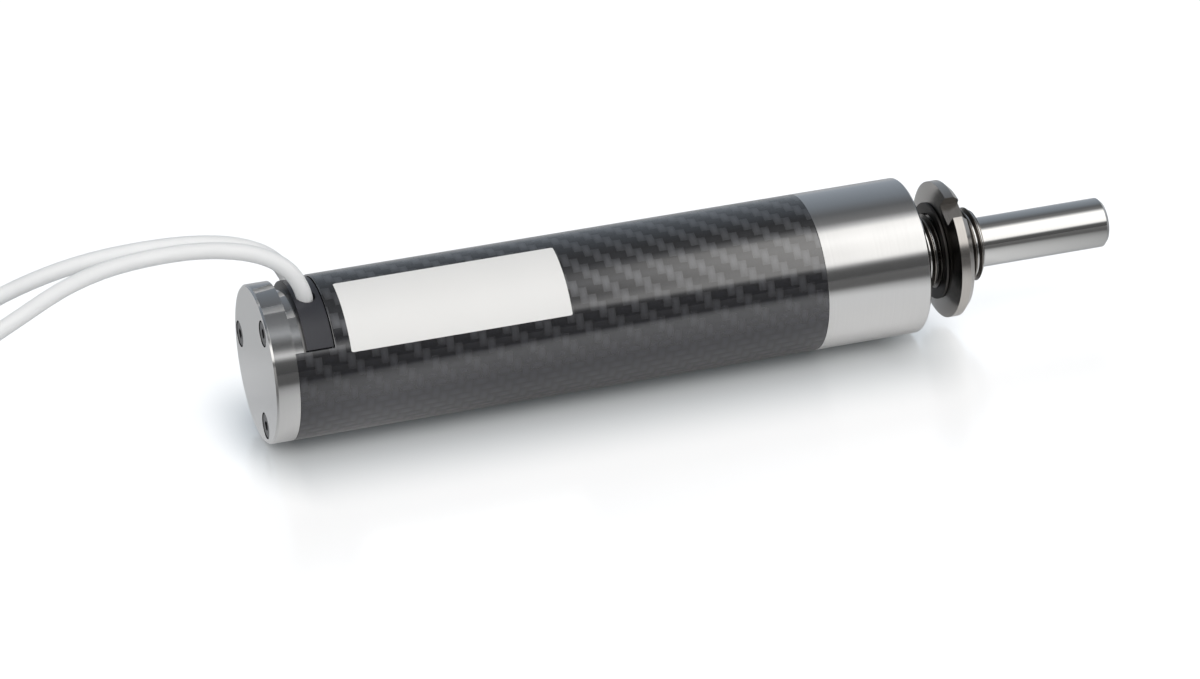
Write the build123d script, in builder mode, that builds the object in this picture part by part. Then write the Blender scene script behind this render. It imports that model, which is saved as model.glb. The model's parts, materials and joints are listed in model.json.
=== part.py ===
"""Piezo linear actuator: a round carbon-fibre housing with a stepping piezo drive and a polished rod.

The actuator lies on its side, as it is stored. +X points out of the nose along the rod, +Z is up, and
the origin is on the surface under the middle of the actuator. Stations called s are counted from the
front shoulder, positive towards the rod's tip. All sizes are in millimetres.
"""
import math
import os

from build123d import *

os.makedirs("parts", exist_ok=True)

# Housing
body_d = 25.0
tube_wall = 1.5
tube_len = 86.0
cap_thick = 3.7
front_len = 17.3
spigot_len = 6.0
cap_spigot_len = 2.0
seat_clearance = 0.05
edge_chamfer = 0.3

# Threaded nose with its ring nut and washer
nose_d = 12.0
nose_len = 11.8
nose_chamfer = 0.6
nut_d = 22.0
nut_seat_d = 15.6
nut_seat_cone = 0.85
nut_thick = 3.35
nut_chamfer = 1.0
nut_slots = 2
nut_slot_wide = 4.0
nut_slot_deep = 2.0
nut_slot_turn = 125.0
washer_nut_gap = 0.05
washer_thick = 0.5
washer_gap = 4.3
thread_clearance = 0.05

# Rod, its bush, wiper and coupling
rod_d = 8.0
rod_out = 22.2
rod_chamfer = 0.6
tip_drill_d = 3.3
tip_drill_deep = 8.0
rod_clearance = 0.03
bush_wall = 0.72
front_wall = 6.8
bush_gap = 0.3
bush_flange_thick = 1.0
bush_flange_gap = 0.75
wiper_len = 1.6
wiper_lip = 0.35
wiper_edge = 0.3
stop_ring_gap = 0.6
travel = 30.0
stop_thick = 1.0
stop_clearance = 0.2
coupling_wall = 1.7
coupling_gap = 0.95
coupling_len = 8.0
coupling_bore_deep = 5.0
coupling_screw_d = 2.0

# Runner and its measuring scale
runner_wide = 8.0
runner_thick = 4.0
runner_len = 56.0
runner_seat = 2.6
scale_len = 38.0
scale_thick = 0.4
scale_tall = 3.0
scale_back = 1.5

# Drive frame
frame_gap = 0.2
frame_front_ring = 4.0
frame_rear_ring = 4.0
frame_floor_thick = 3.2
frame_rail_sink = 2.4
frame_rail_thick = 1.8
frame_rail_step = 1.2
bay_start = 46.0
bay_len = 28.0
bay_side_cover = 4.6
bay_slot_wide = 10.4
bay_slot_cover = 2.2
bay_roof_ends = 4.0
ring_open_wide = 11.0
ring_open_tall = 7.0

# Piezo legs, their base and the preload rollers
leg_pitch = 5.6
leg_count = 4
leg_rows = 2
leg_row_gap = 4.4
leg_thick = 2.2
leg_wide = 2.8
tip_r = 1.05
drive_gap = 0.05
base_thick = 1.0
base_margin = 3.0
roller_wide = 5.0
roller_span = 12.0
axle_r = 0.6
axle_clearance = 0.03
cheek_inner = 2.8
cheek_outer = 4.2
cheek_lift = 0.9
carriage_len = 17.0
carriage_top_gap = 0.35
carriage_top_thick = 0.7
spring_thick = 0.3
spring_rise = 0.4
spring_room = 1.0
spring_wide = 4.4
spring_len = 12.0
preload_screw_d = 3.0
preload_screw_sink = 0.1

# Position sensor and circuit board
head_len = 8.0
head_tall = 7.0
head_gap = 0.5
head_back = 22.0
board_thick = 1.0
board_wide = 14.4
board_lift = 1.0
board_rib = 2.0
board_rib_wide = 8.6
board_gap = 0.5
board_bay_gap = 1.6
chips_long = 3
chips_wide = 2
chip_share = 0.6
chip_tall = 1.2

# Screws
screw_d = 2.0
screw_head_d = 3.8
screw_head_tall = 2.0
screw_key = 1.5
screw_key_deep = 1.0
screw_head_sink = 0.1
counterbore_d = 4.2
screw_hole_d = 2.2
cap_screw_rim = 0.8
cap_screw_len = 11.5
cap_screw_angles = (40, -80, 160)
frame_screw_angles = (0, 120, 240)
frame_screw_grip = 4.0

# Cable outlet at the rear
window_len = 6.3
window_half_angle = 67.0
block_end_gap = 0.1
block_sink = 0.3
block_side_angle = 0.8
block_wall = 6.9
stop_pad_d = 5.0
stop_pad_thick = 0.6
cable_d = 2.6
cable_angle = 22.0
cable_root_sink = 2.6
cable_hole_gap = 0.1

# Put-away cable length: two narrow tied hanks side by side
coil_turns_wide = 2
coil_turns_high = 7
coil_bend_d = 13.4
coil_straight = 32.0
coil_lift = 0.4
coil_x = -146.0
coil_y = 9.9
coil_join = 8.0
tie_wide = 3.0
tie_round = 0.5

# Cable plugs
near_lead_layer = 2
lead_run = 6.0
lead_fall = 9.0
plug_stack_gap = 0.1
boot_len = 16.0
boot_root_d = 7.0
boot_tip_d = 4.4
hood_thick = 14.0
hood_wide = 31.0
hood_front_len = 12.0
hood_neck_wide = 17.0
hood_neck_len = 21.0
hood_wall = 1.8
hood_round = 2.0
hood_edge = 0.8
flange_wide = 30.8
flange_tall = 12.5
flange_thick = 0.8
shell_wide = 16.3
shell_tall = 8.3
shell_len = 6.0
shell_wall = 0.5
shell_slant = 10.0
insert_len = 3.5
pin_d = 1.0
pin_len = 4.8
pin_pitch = 2.3
pin_row_pitch = 2.0
pins_per_row = 5
pin_rows = 3
jack_spacing = 25.0
jack_d = 2.8
jack_hole_d = 3.2
jack_knob_d = 5.6
jack_knob_len = 9.0
jack_out = 5.0
jack_gap = 0.3
jack_slot = 0.8

# Places worked out from the sizes
body_r = body_d / 2
tube_r = body_r - tube_wall
axis_z = body_r
frame_r = tube_r - frame_gap
coupling_r = rod_d / 2 + coupling_wall
coupling_bore_r = coupling_r + coupling_gap
frame_floor_down = frame_r - frame_floor_thick
cap_screw_pcd = body_d - counterbore_d - 2 * cap_screw_rim
frame_screw_pcd = 2 * frame_r - screw_head_d
overall = cap_thick + tube_len + front_len + nose_len + rod_out
shoulder_x = overall / 2 - nose_len - rod_out
tube_front = -front_len
tube_rear = tube_front - tube_len
cap_rear = tube_rear - cap_thick
axis = Axis((0, 0, axis_z), (1, 0, 0))
lengthwise = Plane(origin=(shoulder_x, 0, axis_z), x_dir=(1, 0, 0), z_dir=(0, -1, 0))


def across(s):
    """A plane square to the actuator's axis at station s: its x runs along +Y and its y along +Z."""
    return Plane(origin=(shoulder_x + s, 0, axis_z), x_dir=(0, 1, 0), z_dir=(1, 0, 0))


def level(s, up):
    """A flat plane at station s, at a height above the actuator's axis: its x runs along +X."""
    return Plane(origin=(shoulder_x + s, 0, axis_z + up))


def upright(s, y):
    """A plane along the actuator at y, looking towards -Y: its x runs along +X and its y along +Z."""
    return Plane(origin=(shoulder_x + s, y, axis_z), x_dir=(1, 0, 0), z_dir=(0, -1, 0))


def around(diameter, angles):
    """Places on a circle in an across plane, at angles counted from straight up towards +Y."""
    return [(diameter / 2 * math.sin(math.radians(a)), diameter / 2 * math.cos(math.radians(a)))
            for a in angles]


def rim(piece, radius, s):
    """The round edges of a turned piece that have this radius and lie at station s."""
    return [e for e in piece.edges().filter_by(GeomType.CIRCLE)
            if abs(e.radius - radius) < 0.01 and abs(e.arc_center.X - shoulder_x - s) < 0.01
            and abs(e.arc_center.Y) < 0.01 and abs(e.arc_center.Z - axis_z) < 0.01]


def keep(piece, name):
    """Label a finished piece and write it to its own file."""
    piece.part.label = name
    export_step(piece.part, f"parts/{name}.step")


# Front body: housing head, spigot for the tube and the nose that carries the thread
spigot_r = tube_r - seat_clearance
spigot_rear = tube_front - spigot_len
nose_bore_r = rod_d / 2 + rod_clearance + bush_wall
bore_floor = -front_wall
with BuildPart() as front_body:
    with BuildSketch(lengthwise):
        with BuildLine():
            Polyline(
                (spigot_rear, coupling_bore_r),
                (spigot_rear, spigot_r),
                (tube_front, spigot_r),
                (tube_front, body_r),
                (0, body_r),
                (0, nose_d / 2),
                (nose_len, nose_d / 2),
                (nose_len, nose_bore_r),
                (bore_floor, nose_bore_r),
                (bore_floor, coupling_bore_r),
                close=True,
            )
        make_face()
    revolve(axis=axis)
    chamfer(rim(front_body, body_r, 0), edge_chamfer)
    chamfer(rim(front_body, nose_d / 2, nose_len), nose_chamfer)
    with BuildSketch(across(spigot_rear)):
        with Locations(around(frame_screw_pcd, frame_screw_angles)):
            Circle(screw_d / 2)
    extrude(amount=frame_screw_grip, mode=Mode.SUBTRACT)
keep(front_body, "front_body")

# Flanged bush, front stop and wiper: what the rod slides in
bush_r = rod_d / 2 + rod_clearance
bush_flange_r = coupling_bore_r - bush_flange_gap
flange_rear = bore_floor - bush_flange_thick
wiper_rear = nose_len - nose_chamfer - wiper_len
with BuildPart() as front_bush:
    with BuildSketch(lengthwise):
        with BuildLine():
            Polyline(
                (flange_rear, bush_r),
                (flange_rear, bush_flange_r),
                (bore_floor, bush_flange_r),
                (bore_floor, nose_bore_r),
                (wiper_rear - bush_gap, nose_bore_r),
                (wiper_rear - bush_gap, bush_r),
                close=True,
            )
        make_face()
    revolve(axis=axis)
keep(front_bush, "front_bush")

with BuildPart() as rod_wiper:
    with BuildSketch(lengthwise):
        with BuildLine():
            Polyline(
                (wiper_rear, bush_r + wiper_lip),
                (wiper_rear, nose_bore_r),
                (wiper_rear + wiper_len, nose_bore_r),
                (wiper_rear + wiper_len, bush_r + wiper_lip),
                (wiper_rear + wiper_len / 2 + wiper_edge, bush_r),
                (wiper_rear + wiper_len / 2, bush_r),
                close=True,
            )
        make_face()
    revolve(axis=axis)
keep(rod_wiper, "rod_wiper")

stop_rear = flange_rear - stop_thick
with BuildPart() as front_stop_ring:
    with BuildSketch(across(stop_rear)):
        Circle(coupling_bore_r - seat_clearance)
        Circle(rod_d / 2 + stop_ring_gap, mode=Mode.SUBTRACT)
    extrude(amount=stop_thick)
keep(front_stop_ring, "front_stop_ring")

# Carbon tube, open at its rear end where the cables come out
with BuildPart() as carbon_tube:
    with BuildSketch(across(tube_rear)):
        Circle(body_r)
        Circle(tube_r, mode=Mode.SUBTRACT)
    extrude(amount=tube_len)
    with BuildSketch(across(tube_rear)):
        with BuildLine():
            FilletPolyline(
                (0, 0),
                around(4 * body_r, [-window_half_angle])[0],
                (0, 4 * body_r),
                around(4 * body_r, [window_half_angle])[0],
                close=True,
                radius=seat_clearance,
            )
        make_face()
    extrude(amount=window_len, mode=Mode.SUBTRACT)
keep(carbon_tube, "carbon_tube")

# Rear cap: a disc with a spigot and three counterbored screw holes
cap_spigot_front = tube_rear + cap_spigot_len
cap_spots = around(cap_screw_pcd, cap_screw_angles)
head_seat = cap_rear + screw_head_tall + screw_head_sink
with BuildPart() as rear_cap:
    with BuildSketch(across(cap_rear)):
        Circle(body_r)
    extrude(amount=cap_thick)
    with BuildSketch(across(tube_rear)):
        Circle(spigot_r)
    extrude(amount=cap_spigot_len)
    chamfer(rim(rear_cap, body_r, cap_rear), edge_chamfer)
    with BuildSketch(across(cap_rear)):
        with Locations(cap_spots):
            Circle(counterbore_d / 2)
    extrude(amount=head_seat - cap_rear, mode=Mode.SUBTRACT)
    with BuildSketch(across(head_seat)):
        with Locations(cap_spots):
            Circle(screw_hole_d / 2)
    extrude(amount=cap_thick + cap_spigot_len, mode=Mode.SUBTRACT)
keep(rear_cap, "rear_cap")

# Three socket-head screws hold the cap and the cable block to the frame
with BuildPart() as cap_screws:
    with BuildSketch(across(head_seat - screw_head_tall)):
        with Locations(cap_spots):
            Circle(screw_head_d / 2)
    extrude(amount=screw_head_tall)
    with BuildSketch(across(head_seat)):
        with Locations(cap_spots):
            Circle(screw_d / 2)
    extrude(amount=cap_screw_len)
    with BuildSketch(across(head_seat - screw_head_tall)):
        with Locations(cap_spots):
            RegularPolygon(screw_key / 2, 6, major_radius=False)
    extrude(amount=screw_key_deep, mode=Mode.SUBTRACT)
keep(cap_screws, "cap_screws")

# Cable block: a moulded ring inside the tube whose raised back fills the window
block_rear = cap_spigot_front
block_front = tube_rear + window_len - block_end_gap
block_r = body_r - block_sink
cable_s = (block_rear + block_front) / 2
cable_root_r = body_r - cable_root_sink
with BuildPart() as cable_block:
    with BuildSketch(across(block_rear)):
        Circle(block_r)
        with BuildLine():
            Polyline(
                (0, 0),
                around(4 * body_r, [window_half_angle - block_side_angle])[0],
                (0, -4 * body_r),
                around(4 * body_r, [block_side_angle - window_half_angle])[0],
                close=True,
            )
        make_face(mode=Mode.SUBTRACT)
        Circle(frame_r)
        Circle(body_r - block_wall, mode=Mode.SUBTRACT)
        with Locations(cap_spots):
            Circle(screw_hole_d / 2, mode=Mode.SUBTRACT)
    extrude(amount=block_front - block_rear)
    for side in (-1, 1):
        tilt = math.radians(cable_angle) * side
        outlet = Plane(
            origin=(shoulder_x + cable_s, 0, axis_z),
            x_dir=(1, 0, 0),
            z_dir=(0, math.sin(tilt), math.cos(tilt)),
        ).offset(cable_root_r)
        with BuildSketch(outlet):
            Circle(cable_d / 2 + cable_hole_gap)
        extrude(amount=body_r, mode=Mode.SUBTRACT)
keep(cable_block, "cable_block")

# Rear stop pad, glued to the cap's spigot inside the block
with BuildPart() as rear_stop_pad:
    with BuildSketch(across(block_rear)):
        Circle(stop_pad_d / 2)
    extrude(amount=stop_pad_thick)
keep(rear_stop_pad, "rear_stop_pad")

# Drive frame: a bar milled to two rings, a floor, two rails and the closed bay over the piezo legs
frame_front = spigot_rear
frame_rear = block_front
rail_outer = frame_r - frame_rail_sink
rail_inner = rail_outer - frame_rail_thick
rail_low = frame_floor_down - frame_rail_step
bay_front = -bay_start
bay_rear = bay_front - bay_len
bay_roof_up = frame_r - bay_side_cover
bay_slot_up = frame_r - bay_slot_cover
board_rear = frame_rear + frame_rear_ring + board_gap
board_len = bay_rear - board_bay_gap - board_rear
roof_front = bay_front - bay_roof_ends
roof_rear = bay_rear + bay_roof_ends + board_rib
with BuildPart() as drive_frame:
    with BuildSketch(across(frame_rear)):
        Circle(frame_r)
    extrude(amount=frame_front - frame_rear)
    with BuildSketch(across(frame_front - frame_front_ring)):
        Circle(coupling_bore_r)
    extrude(amount=frame_front_ring, mode=Mode.SUBTRACT)
    with BuildSketch(across(bay_front)):
        with Locations((0, body_r - rail_low)):
            Rectangle(body_d, body_d)
        with Locations((0, body_r - frame_floor_down)):
            Rectangle(2 * rail_outer, body_d)
    extrude(amount=frame_front - frame_front_ring - bay_front, mode=Mode.SUBTRACT)
    with BuildSketch(across(frame_rear + frame_rear_ring)):
        with Locations((0, body_r - rail_low)):
            Rectangle(body_d, body_d)
        with Locations((0, body_r - frame_floor_down)):
            Rectangle(2 * rail_outer, body_d)
    extrude(amount=bay_rear - frame_rear - frame_rear_ring, mode=Mode.SUBTRACT)
    with BuildSketch(across(bay_rear)):
        with Locations((0, (bay_roof_up - frame_floor_down) / 2)):
            Rectangle(2 * rail_inner, bay_roof_up + frame_floor_down)
        with Locations((0, bay_slot_up / 2)):
            Rectangle(bay_slot_wide, bay_slot_up)
    extrude(amount=bay_len, mode=Mode.SUBTRACT)
    for end, length in ((bay_rear, roof_rear - bay_rear), (roof_front, bay_front - roof_front)):
        with BuildSketch(across(end)):
            with Locations((0, bay_roof_up + body_r)):
                Rectangle(body_d, body_d)
        extrude(amount=length, mode=Mode.SUBTRACT)
    with BuildSketch(across(frame_rear)):
        Rectangle(ring_open_wide, ring_open_tall)
        with Locations(cap_spots):
            Circle(screw_d / 2)
    extrude(amount=frame_rear_ring, mode=Mode.SUBTRACT)
    with BuildSketch(across(frame_front - frame_front_ring)):
        with Locations(around(frame_screw_pcd, frame_screw_angles)):
            Circle(screw_hole_d / 2)
    extrude(amount=frame_front_ring, mode=Mode.SUBTRACT)
    with BuildSketch(level((roof_front + roof_rear) / 2, bay_slot_up)):
        Circle(preload_screw_d / 2)
    extrude(amount=body_r, mode=Mode.SUBTRACT)
    for end in (board_rear, board_rear + board_len - board_rib):
        with BuildSketch(level(end + board_rib / 2, -frame_floor_down)):
            Rectangle(board_rib, board_rib_wide)
        extrude(amount=board_lift)
keep(drive_frame, "drive_frame")

# Three screws hold the frame's front ring to the front body
with BuildPart() as frame_screws:
    with BuildSketch(across(frame_front - frame_front_ring - screw_head_tall)):
        with Locations(around(frame_screw_pcd, frame_screw_angles)):
            Circle(screw_head_d / 2)
    extrude(amount=screw_head_tall)
    with BuildSketch(across(frame_front - frame_front_ring)):
        with Locations(around(frame_screw_pcd, frame_screw_angles)):
            Circle(screw_d / 2)
    extrude(amount=frame_front_ring + frame_screw_grip)
    with BuildSketch(across(frame_front - frame_front_ring - screw_head_tall)):
        with Locations(around(frame_screw_pcd, frame_screw_angles)):
            RegularPolygon(screw_key / 2, 6, major_radius=False)
    extrude(amount=screw_key_deep, mode=Mode.SUBTRACT)
keep(frame_screws, "frame_screws")

# Piezo drive: a ceramic base, two rows of legs and a round-topped ceramic tip on each leg
runner_down = -runner_thick / 2
tip_centre = runner_down - drive_gap - tip_r
base_top = base_thick - frame_floor_down
drive_mid = bay_front - base_margin / 2 - (leg_count - 1) * leg_pitch / 2 - leg_thick
base_len = (leg_count - 1) * leg_pitch + leg_thick + base_margin
leg_spots = GridLocations(leg_pitch, leg_row_gap, leg_count, leg_rows)
with BuildPart() as drive_base:
    with BuildSketch(level(drive_mid, -frame_floor_down)):
        Rectangle(base_len, leg_row_gap + leg_wide + base_margin)
    extrude(amount=base_thick)
keep(drive_base, "drive_base")

with BuildPart() as piezo_legs:
    with BuildSketch(level(drive_mid, base_top)):
        with leg_spots:
            Rectangle(leg_thick, leg_wide)
    extrude(amount=tip_centre - base_top)
keep(piezo_legs, "piezo_legs")

with BuildPart() as leg_tips:
    for side in (-1, 1):
        row_y = side * leg_row_gap / 2 + leg_wide / 2
        with BuildSketch(upright(drive_mid, row_y)):
            with Locations((0, tip_centre)):
                with GridLocations(leg_pitch, 1, leg_count, 1):
                    Circle(tip_r)
            with Locations((0, tip_centre - tip_r)):
                Rectangle(leg_pitch * leg_count, 2 * tip_r, mode=Mode.SUBTRACT)
        extrude(amount=leg_wide)
keep(leg_tips, "leg_tips")

# Preload: two rollers in a carriage, pressed down by a leaf spring and its set screw
roller_mid = (roof_front + roof_rear) / 2
carriage_top = bay_slot_up - spring_room - carriage_top_thick
roller_r = (carriage_top - carriage_top_gap - runner_thick / 2 - drive_gap) / 2
roller_up = runner_thick / 2 + drive_gap + roller_r
roller_stations = {"front_roller": roller_mid + roller_span / 2, "rear_roller": roller_mid - roller_span / 2}
for name, s in roller_stations.items():
    with BuildPart() as roller:
        with BuildSketch(upright(s, roller_wide / 2)):
            with Locations((0, roller_up)):
                Circle(roller_r)
                Circle(axle_r + axle_clearance, mode=Mode.SUBTRACT)
        extrude(amount=roller_wide)
    keep(roller, name)

with BuildPart() as roller_axles:
    for s in roller_stations.values():
        with BuildSketch(upright(s, cheek_outer)):
            with Locations((0, roller_up)):
                Circle(axle_r)
        extrude(amount=2 * cheek_outer)
keep(roller_axles, "roller_axles")

with BuildPart() as roller_carriage:
    with BuildSketch(level(roller_mid, runner_thick / 2 + cheek_lift)):
        Rectangle(carriage_len, 2 * cheek_outer)
    extrude(amount=carriage_top + carriage_top_thick - runner_thick / 2 - cheek_lift)
    with BuildSketch(level(roller_mid, runner_thick / 2 + cheek_lift)):
        Rectangle(carriage_len, 2 * cheek_inner)
    extrude(amount=carriage_top - runner_thick / 2 - cheek_lift, mode=Mode.SUBTRACT)
    for s in roller_stations.values():
        with BuildSketch(upright(s, cheek_outer)):
            with Locations((0, roller_up)):
                Circle(axle_r)
        extrude(amount=2 * cheek_outer, mode=Mode.SUBTRACT)
keep(roller_carriage, "roller_carriage")

spring_seat = carriage_top + carriage_top_thick
with BuildPart() as leaf_spring:
    with BuildSketch(upright(roller_mid, spring_wide / 2)):
        with BuildLine():
            lower = ThreePointArc(
                (-spring_len / 2, spring_seat),
                (0, spring_seat + spring_rise),
                (spring_len / 2, spring_seat),
            )
            upper = ThreePointArc(
                (-spring_len / 2, spring_seat + spring_thick),
                (0, spring_seat + spring_rise + spring_thick),
                (spring_len / 2, spring_seat + spring_thick),
            )
            Line(lower @ 0, upper @ 0)
            Line(lower @ 1, upper @ 1)
        make_face()
    extrude(amount=spring_wide)
keep(leaf_spring, "leaf_spring")

preload_foot = spring_seat + spring_rise + spring_thick
with BuildPart() as preload_screw:
    with BuildSketch(level(roller_mid, preload_foot)):
        Circle(preload_screw_d / 2)
    extrude(amount=frame_r - preload_foot - preload_screw_sink)
    with BuildSketch(level(roller_mid, frame_r - preload_screw_sink)):
        RegularPolygon(screw_key / 2, 6, major_radius=False)
    extrude(amount=-screw_key_deep, mode=Mode.SUBTRACT)
keep(preload_screw, "preload_screw")

# Rod, its coupling and the ceramic runner: what moves
rod_tip = nose_len + rod_out
coupling_front = stop_rear - stop_clearance - travel / 2
coupling_rear = coupling_front - coupling_len
rod_rear = coupling_front - coupling_bore_deep
with BuildPart() as push_rod:
    with BuildSketch(across(rod_rear)):
        Circle(rod_d / 2)
    extrude(amount=rod_tip - rod_rear)
    chamfer(rim(push_rod, rod_d / 2, rod_tip), rod_chamfer)
    with BuildSketch(across(rod_tip)):
        Circle(tip_drill_d / 2)
    extrude(amount=-tip_drill_deep, mode=Mode.SUBTRACT)
keep(push_rod, "push_rod")

runner_front = coupling_rear + runner_seat
runner_rear = runner_front - runner_len
coupling_screw_s = coupling_front - coupling_bore_deep / 2
with BuildPart() as rod_coupling:
    with BuildSketch(across(coupling_rear)):
        Circle(coupling_r)
    extrude(amount=coupling_len)
    with BuildSketch(across(coupling_front)):
        Circle(rod_d / 2)
    extrude(amount=-coupling_bore_deep, mode=Mode.SUBTRACT)
    with BuildSketch(across(coupling_rear)):
        Rectangle(runner_wide, runner_thick)
    extrude(amount=runner_seat, mode=Mode.SUBTRACT)
    with BuildSketch(level(coupling_screw_s, 0)):
        Circle(coupling_screw_d / 2)
    extrude(amount=coupling_r, mode=Mode.SUBTRACT)
keep(rod_coupling, "rod_coupling")

with BuildPart() as coupling_screw:
    with BuildSketch(level(coupling_screw_s, rod_d / 2)):
        Circle(coupling_screw_d / 2)
    extrude(amount=coupling_r - rod_d / 2 - preload_screw_sink)
keep(coupling_screw, "coupling_screw")

with BuildPart() as runner:
    with BuildSketch(across(runner_rear)):
        Rectangle(runner_wide, runner_thick)
    extrude(amount=runner_len)
keep(runner, "runner")

with BuildPart() as encoder_scale:
    with BuildSketch(upright(runner_rear + scale_back + scale_len / 2, runner_wide / 2 + scale_thick)):
        Rectangle(scale_len, scale_tall)
    extrude(amount=scale_thick)
keep(encoder_scale, "encoder_scale")

# Position sensor on the frame's rail, and the circuit board behind the piezo drive
head_near = runner_wide / 2 + scale_thick + head_gap
with BuildPart() as encoder_head:
    with BuildSketch(upright(bay_front - head_back + head_len / 2, rail_inner)):
        Rectangle(head_len, head_tall)
    extrude(amount=rail_inner - head_near)
keep(encoder_head, "encoder_head")

board_bottom = board_lift - frame_floor_down
with BuildPart() as circuit_board:
    with BuildSketch(level(board_rear + board_len / 2, board_bottom)):
        Rectangle(board_len, board_wide)
    extrude(amount=board_thick)
    with BuildSketch(level(board_rear + board_len / 2, board_bottom + board_thick)):
        with GridLocations(board_len / chips_long, board_wide / chips_wide, chips_long, chips_wide):
            Rectangle(chip_share * board_len / chips_long, chip_share * board_wide / chips_wide)
    extrude(amount=chip_tall)
keep(circuit_board, "circuit_board")

# Washer and slotted ring nut on the nose
nut_bore_r = nose_d / 2 + thread_clearance
nut_rear = washer_gap + washer_thick
nut_front = nut_rear + nut_thick
with BuildPart() as lock_washer:
    with BuildSketch(across(washer_gap)):
        Circle(nut_seat_d / 2)
        Circle(nut_bore_r, mode=Mode.SUBTRACT)
    extrude(amount=washer_thick - washer_nut_gap)
keep(lock_washer, "lock_washer")

with BuildPart() as ring_nut:
    with BuildSketch(across(nut_rear)):
        Circle(nut_seat_d / 2)
    with BuildSketch(across(nut_rear + nut_seat_cone)):
        Circle(nut_d / 2)
    loft()
    with BuildSketch(across(nut_rear + nut_seat_cone)):
        Circle(nut_d / 2)
    extrude(amount=nut_thick - nut_seat_cone)
    chamfer(rim(ring_nut, nut_d / 2, nut_front), nut_chamfer)
    with BuildSketch(across(nut_rear)):
        Circle(nut_bore_r)
    extrude(amount=nut_thick, mode=Mode.SUBTRACT)
    with BuildSketch(across(nut_rear)):
        with PolarLocations(nut_d / 2, nut_slots, start_angle=nut_slot_turn):
            Rectangle(2 * nut_slot_deep, nut_slot_wide)
    extrude(amount=nut_thick, mode=Mode.SUBTRACT)
keep(ring_nut, "ring_nut")

# Cables: the free length from the block to its coil, chosen by hand, and the short lead to the plug
cable_r = cable_d / 2
coil_wide = coil_turns_wide * cable_d
coil_high = coil_turns_high * cable_d
coil_outer = coil_bend_d / 2 + coil_wide / 2
coil_inner = coil_outer - coil_wide
coil_top = coil_lift + coil_high - cable_r
coil_entry_y = coil_y - coil_inner - cable_r
coil_leave_y = coil_y - coil_outer + cable_r
exit_x = shoulder_x + cable_s
root_y = cable_root_r * math.sin(math.radians(cable_angle))
root_z = axis_z + cable_root_r * math.cos(math.radians(cable_angle))
coil_end = (coil_x + coil_join, coil_entry_y, coil_top)
near_route = [
    (exit_x, root_y, root_z),
    (exit_x - 0.3, 5.0, 25.1),
    (exit_x - 3.1, 5.4, 29.8),
    (exit_x - 9.0, 5.3, 33.0),
    (exit_x - 19.5, 5.4, 34.7),
    (exit_x - 34.5, 6.6, 33.9),
    (-111.0, 10.0, 28.5),
    (-124.0, 7.4, 21.0),
    coil_end,
]
far_route = [
    (exit_x, root_y, root_z),
    (exit_x - 0.4, 5.0, 25.0),
    (exit_x - 3.6, 5.4, 28.6),
    (exit_x - 9.6, 5.4, 31.1),
    (exit_x - 19.5, 5.6, 32.2),
    (exit_x - 33.5, 6.8, 31.2),
    (-109.5, 9.8, 26.4),
    (-123.0, 7.4, 20.6),
    coil_end,
]
lead_x = coil_x - coil_join
plug_end_x = lead_x - 2 * lead_run - lead_fall
near_lead_z = coil_lift + cable_r + near_lead_layer * cable_d
near_plug_z = hood_thick / 2
far_plug_z = near_plug_z + hood_thick + plug_stack_gap


def route_radii(points):
    """The largest arc that each corner of a route allows, with 0.45 of its shorter run on each side."""
    places = [Vector(p) for p in points]
    radii = []
    for before, corner, after in zip(places, places[1:], places[2:]):
        turn = (corner - before).get_angle(after - corner)
        run = min((corner - before).length, (after - corner).length)
        radii.append(0.45 * run / math.tan(math.radians(turn) / 2))
    return radii


def cable_tube(name, points):
    """A round cable along straight runs joined by tangent arcs."""
    radii = route_radii(points)
    with BuildPart() as tube:
        with BuildLine() as path:
            FilletPolyline(*points, radius=radii)
        line = path.wires()[0]
        with BuildSketch(Plane(origin=line @ 0, z_dir=line % 0)):
            Circle(cable_r)
        sweep(path=line)
    section = math.pi * cable_r ** 2
    length = line.length
    print(name, "length", round(length, 1), "radii", [round(r, 1) for r in radii],
          "volume share", round(tube.part.volume / (section * length), 4))
    keep(tube, name)


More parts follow.
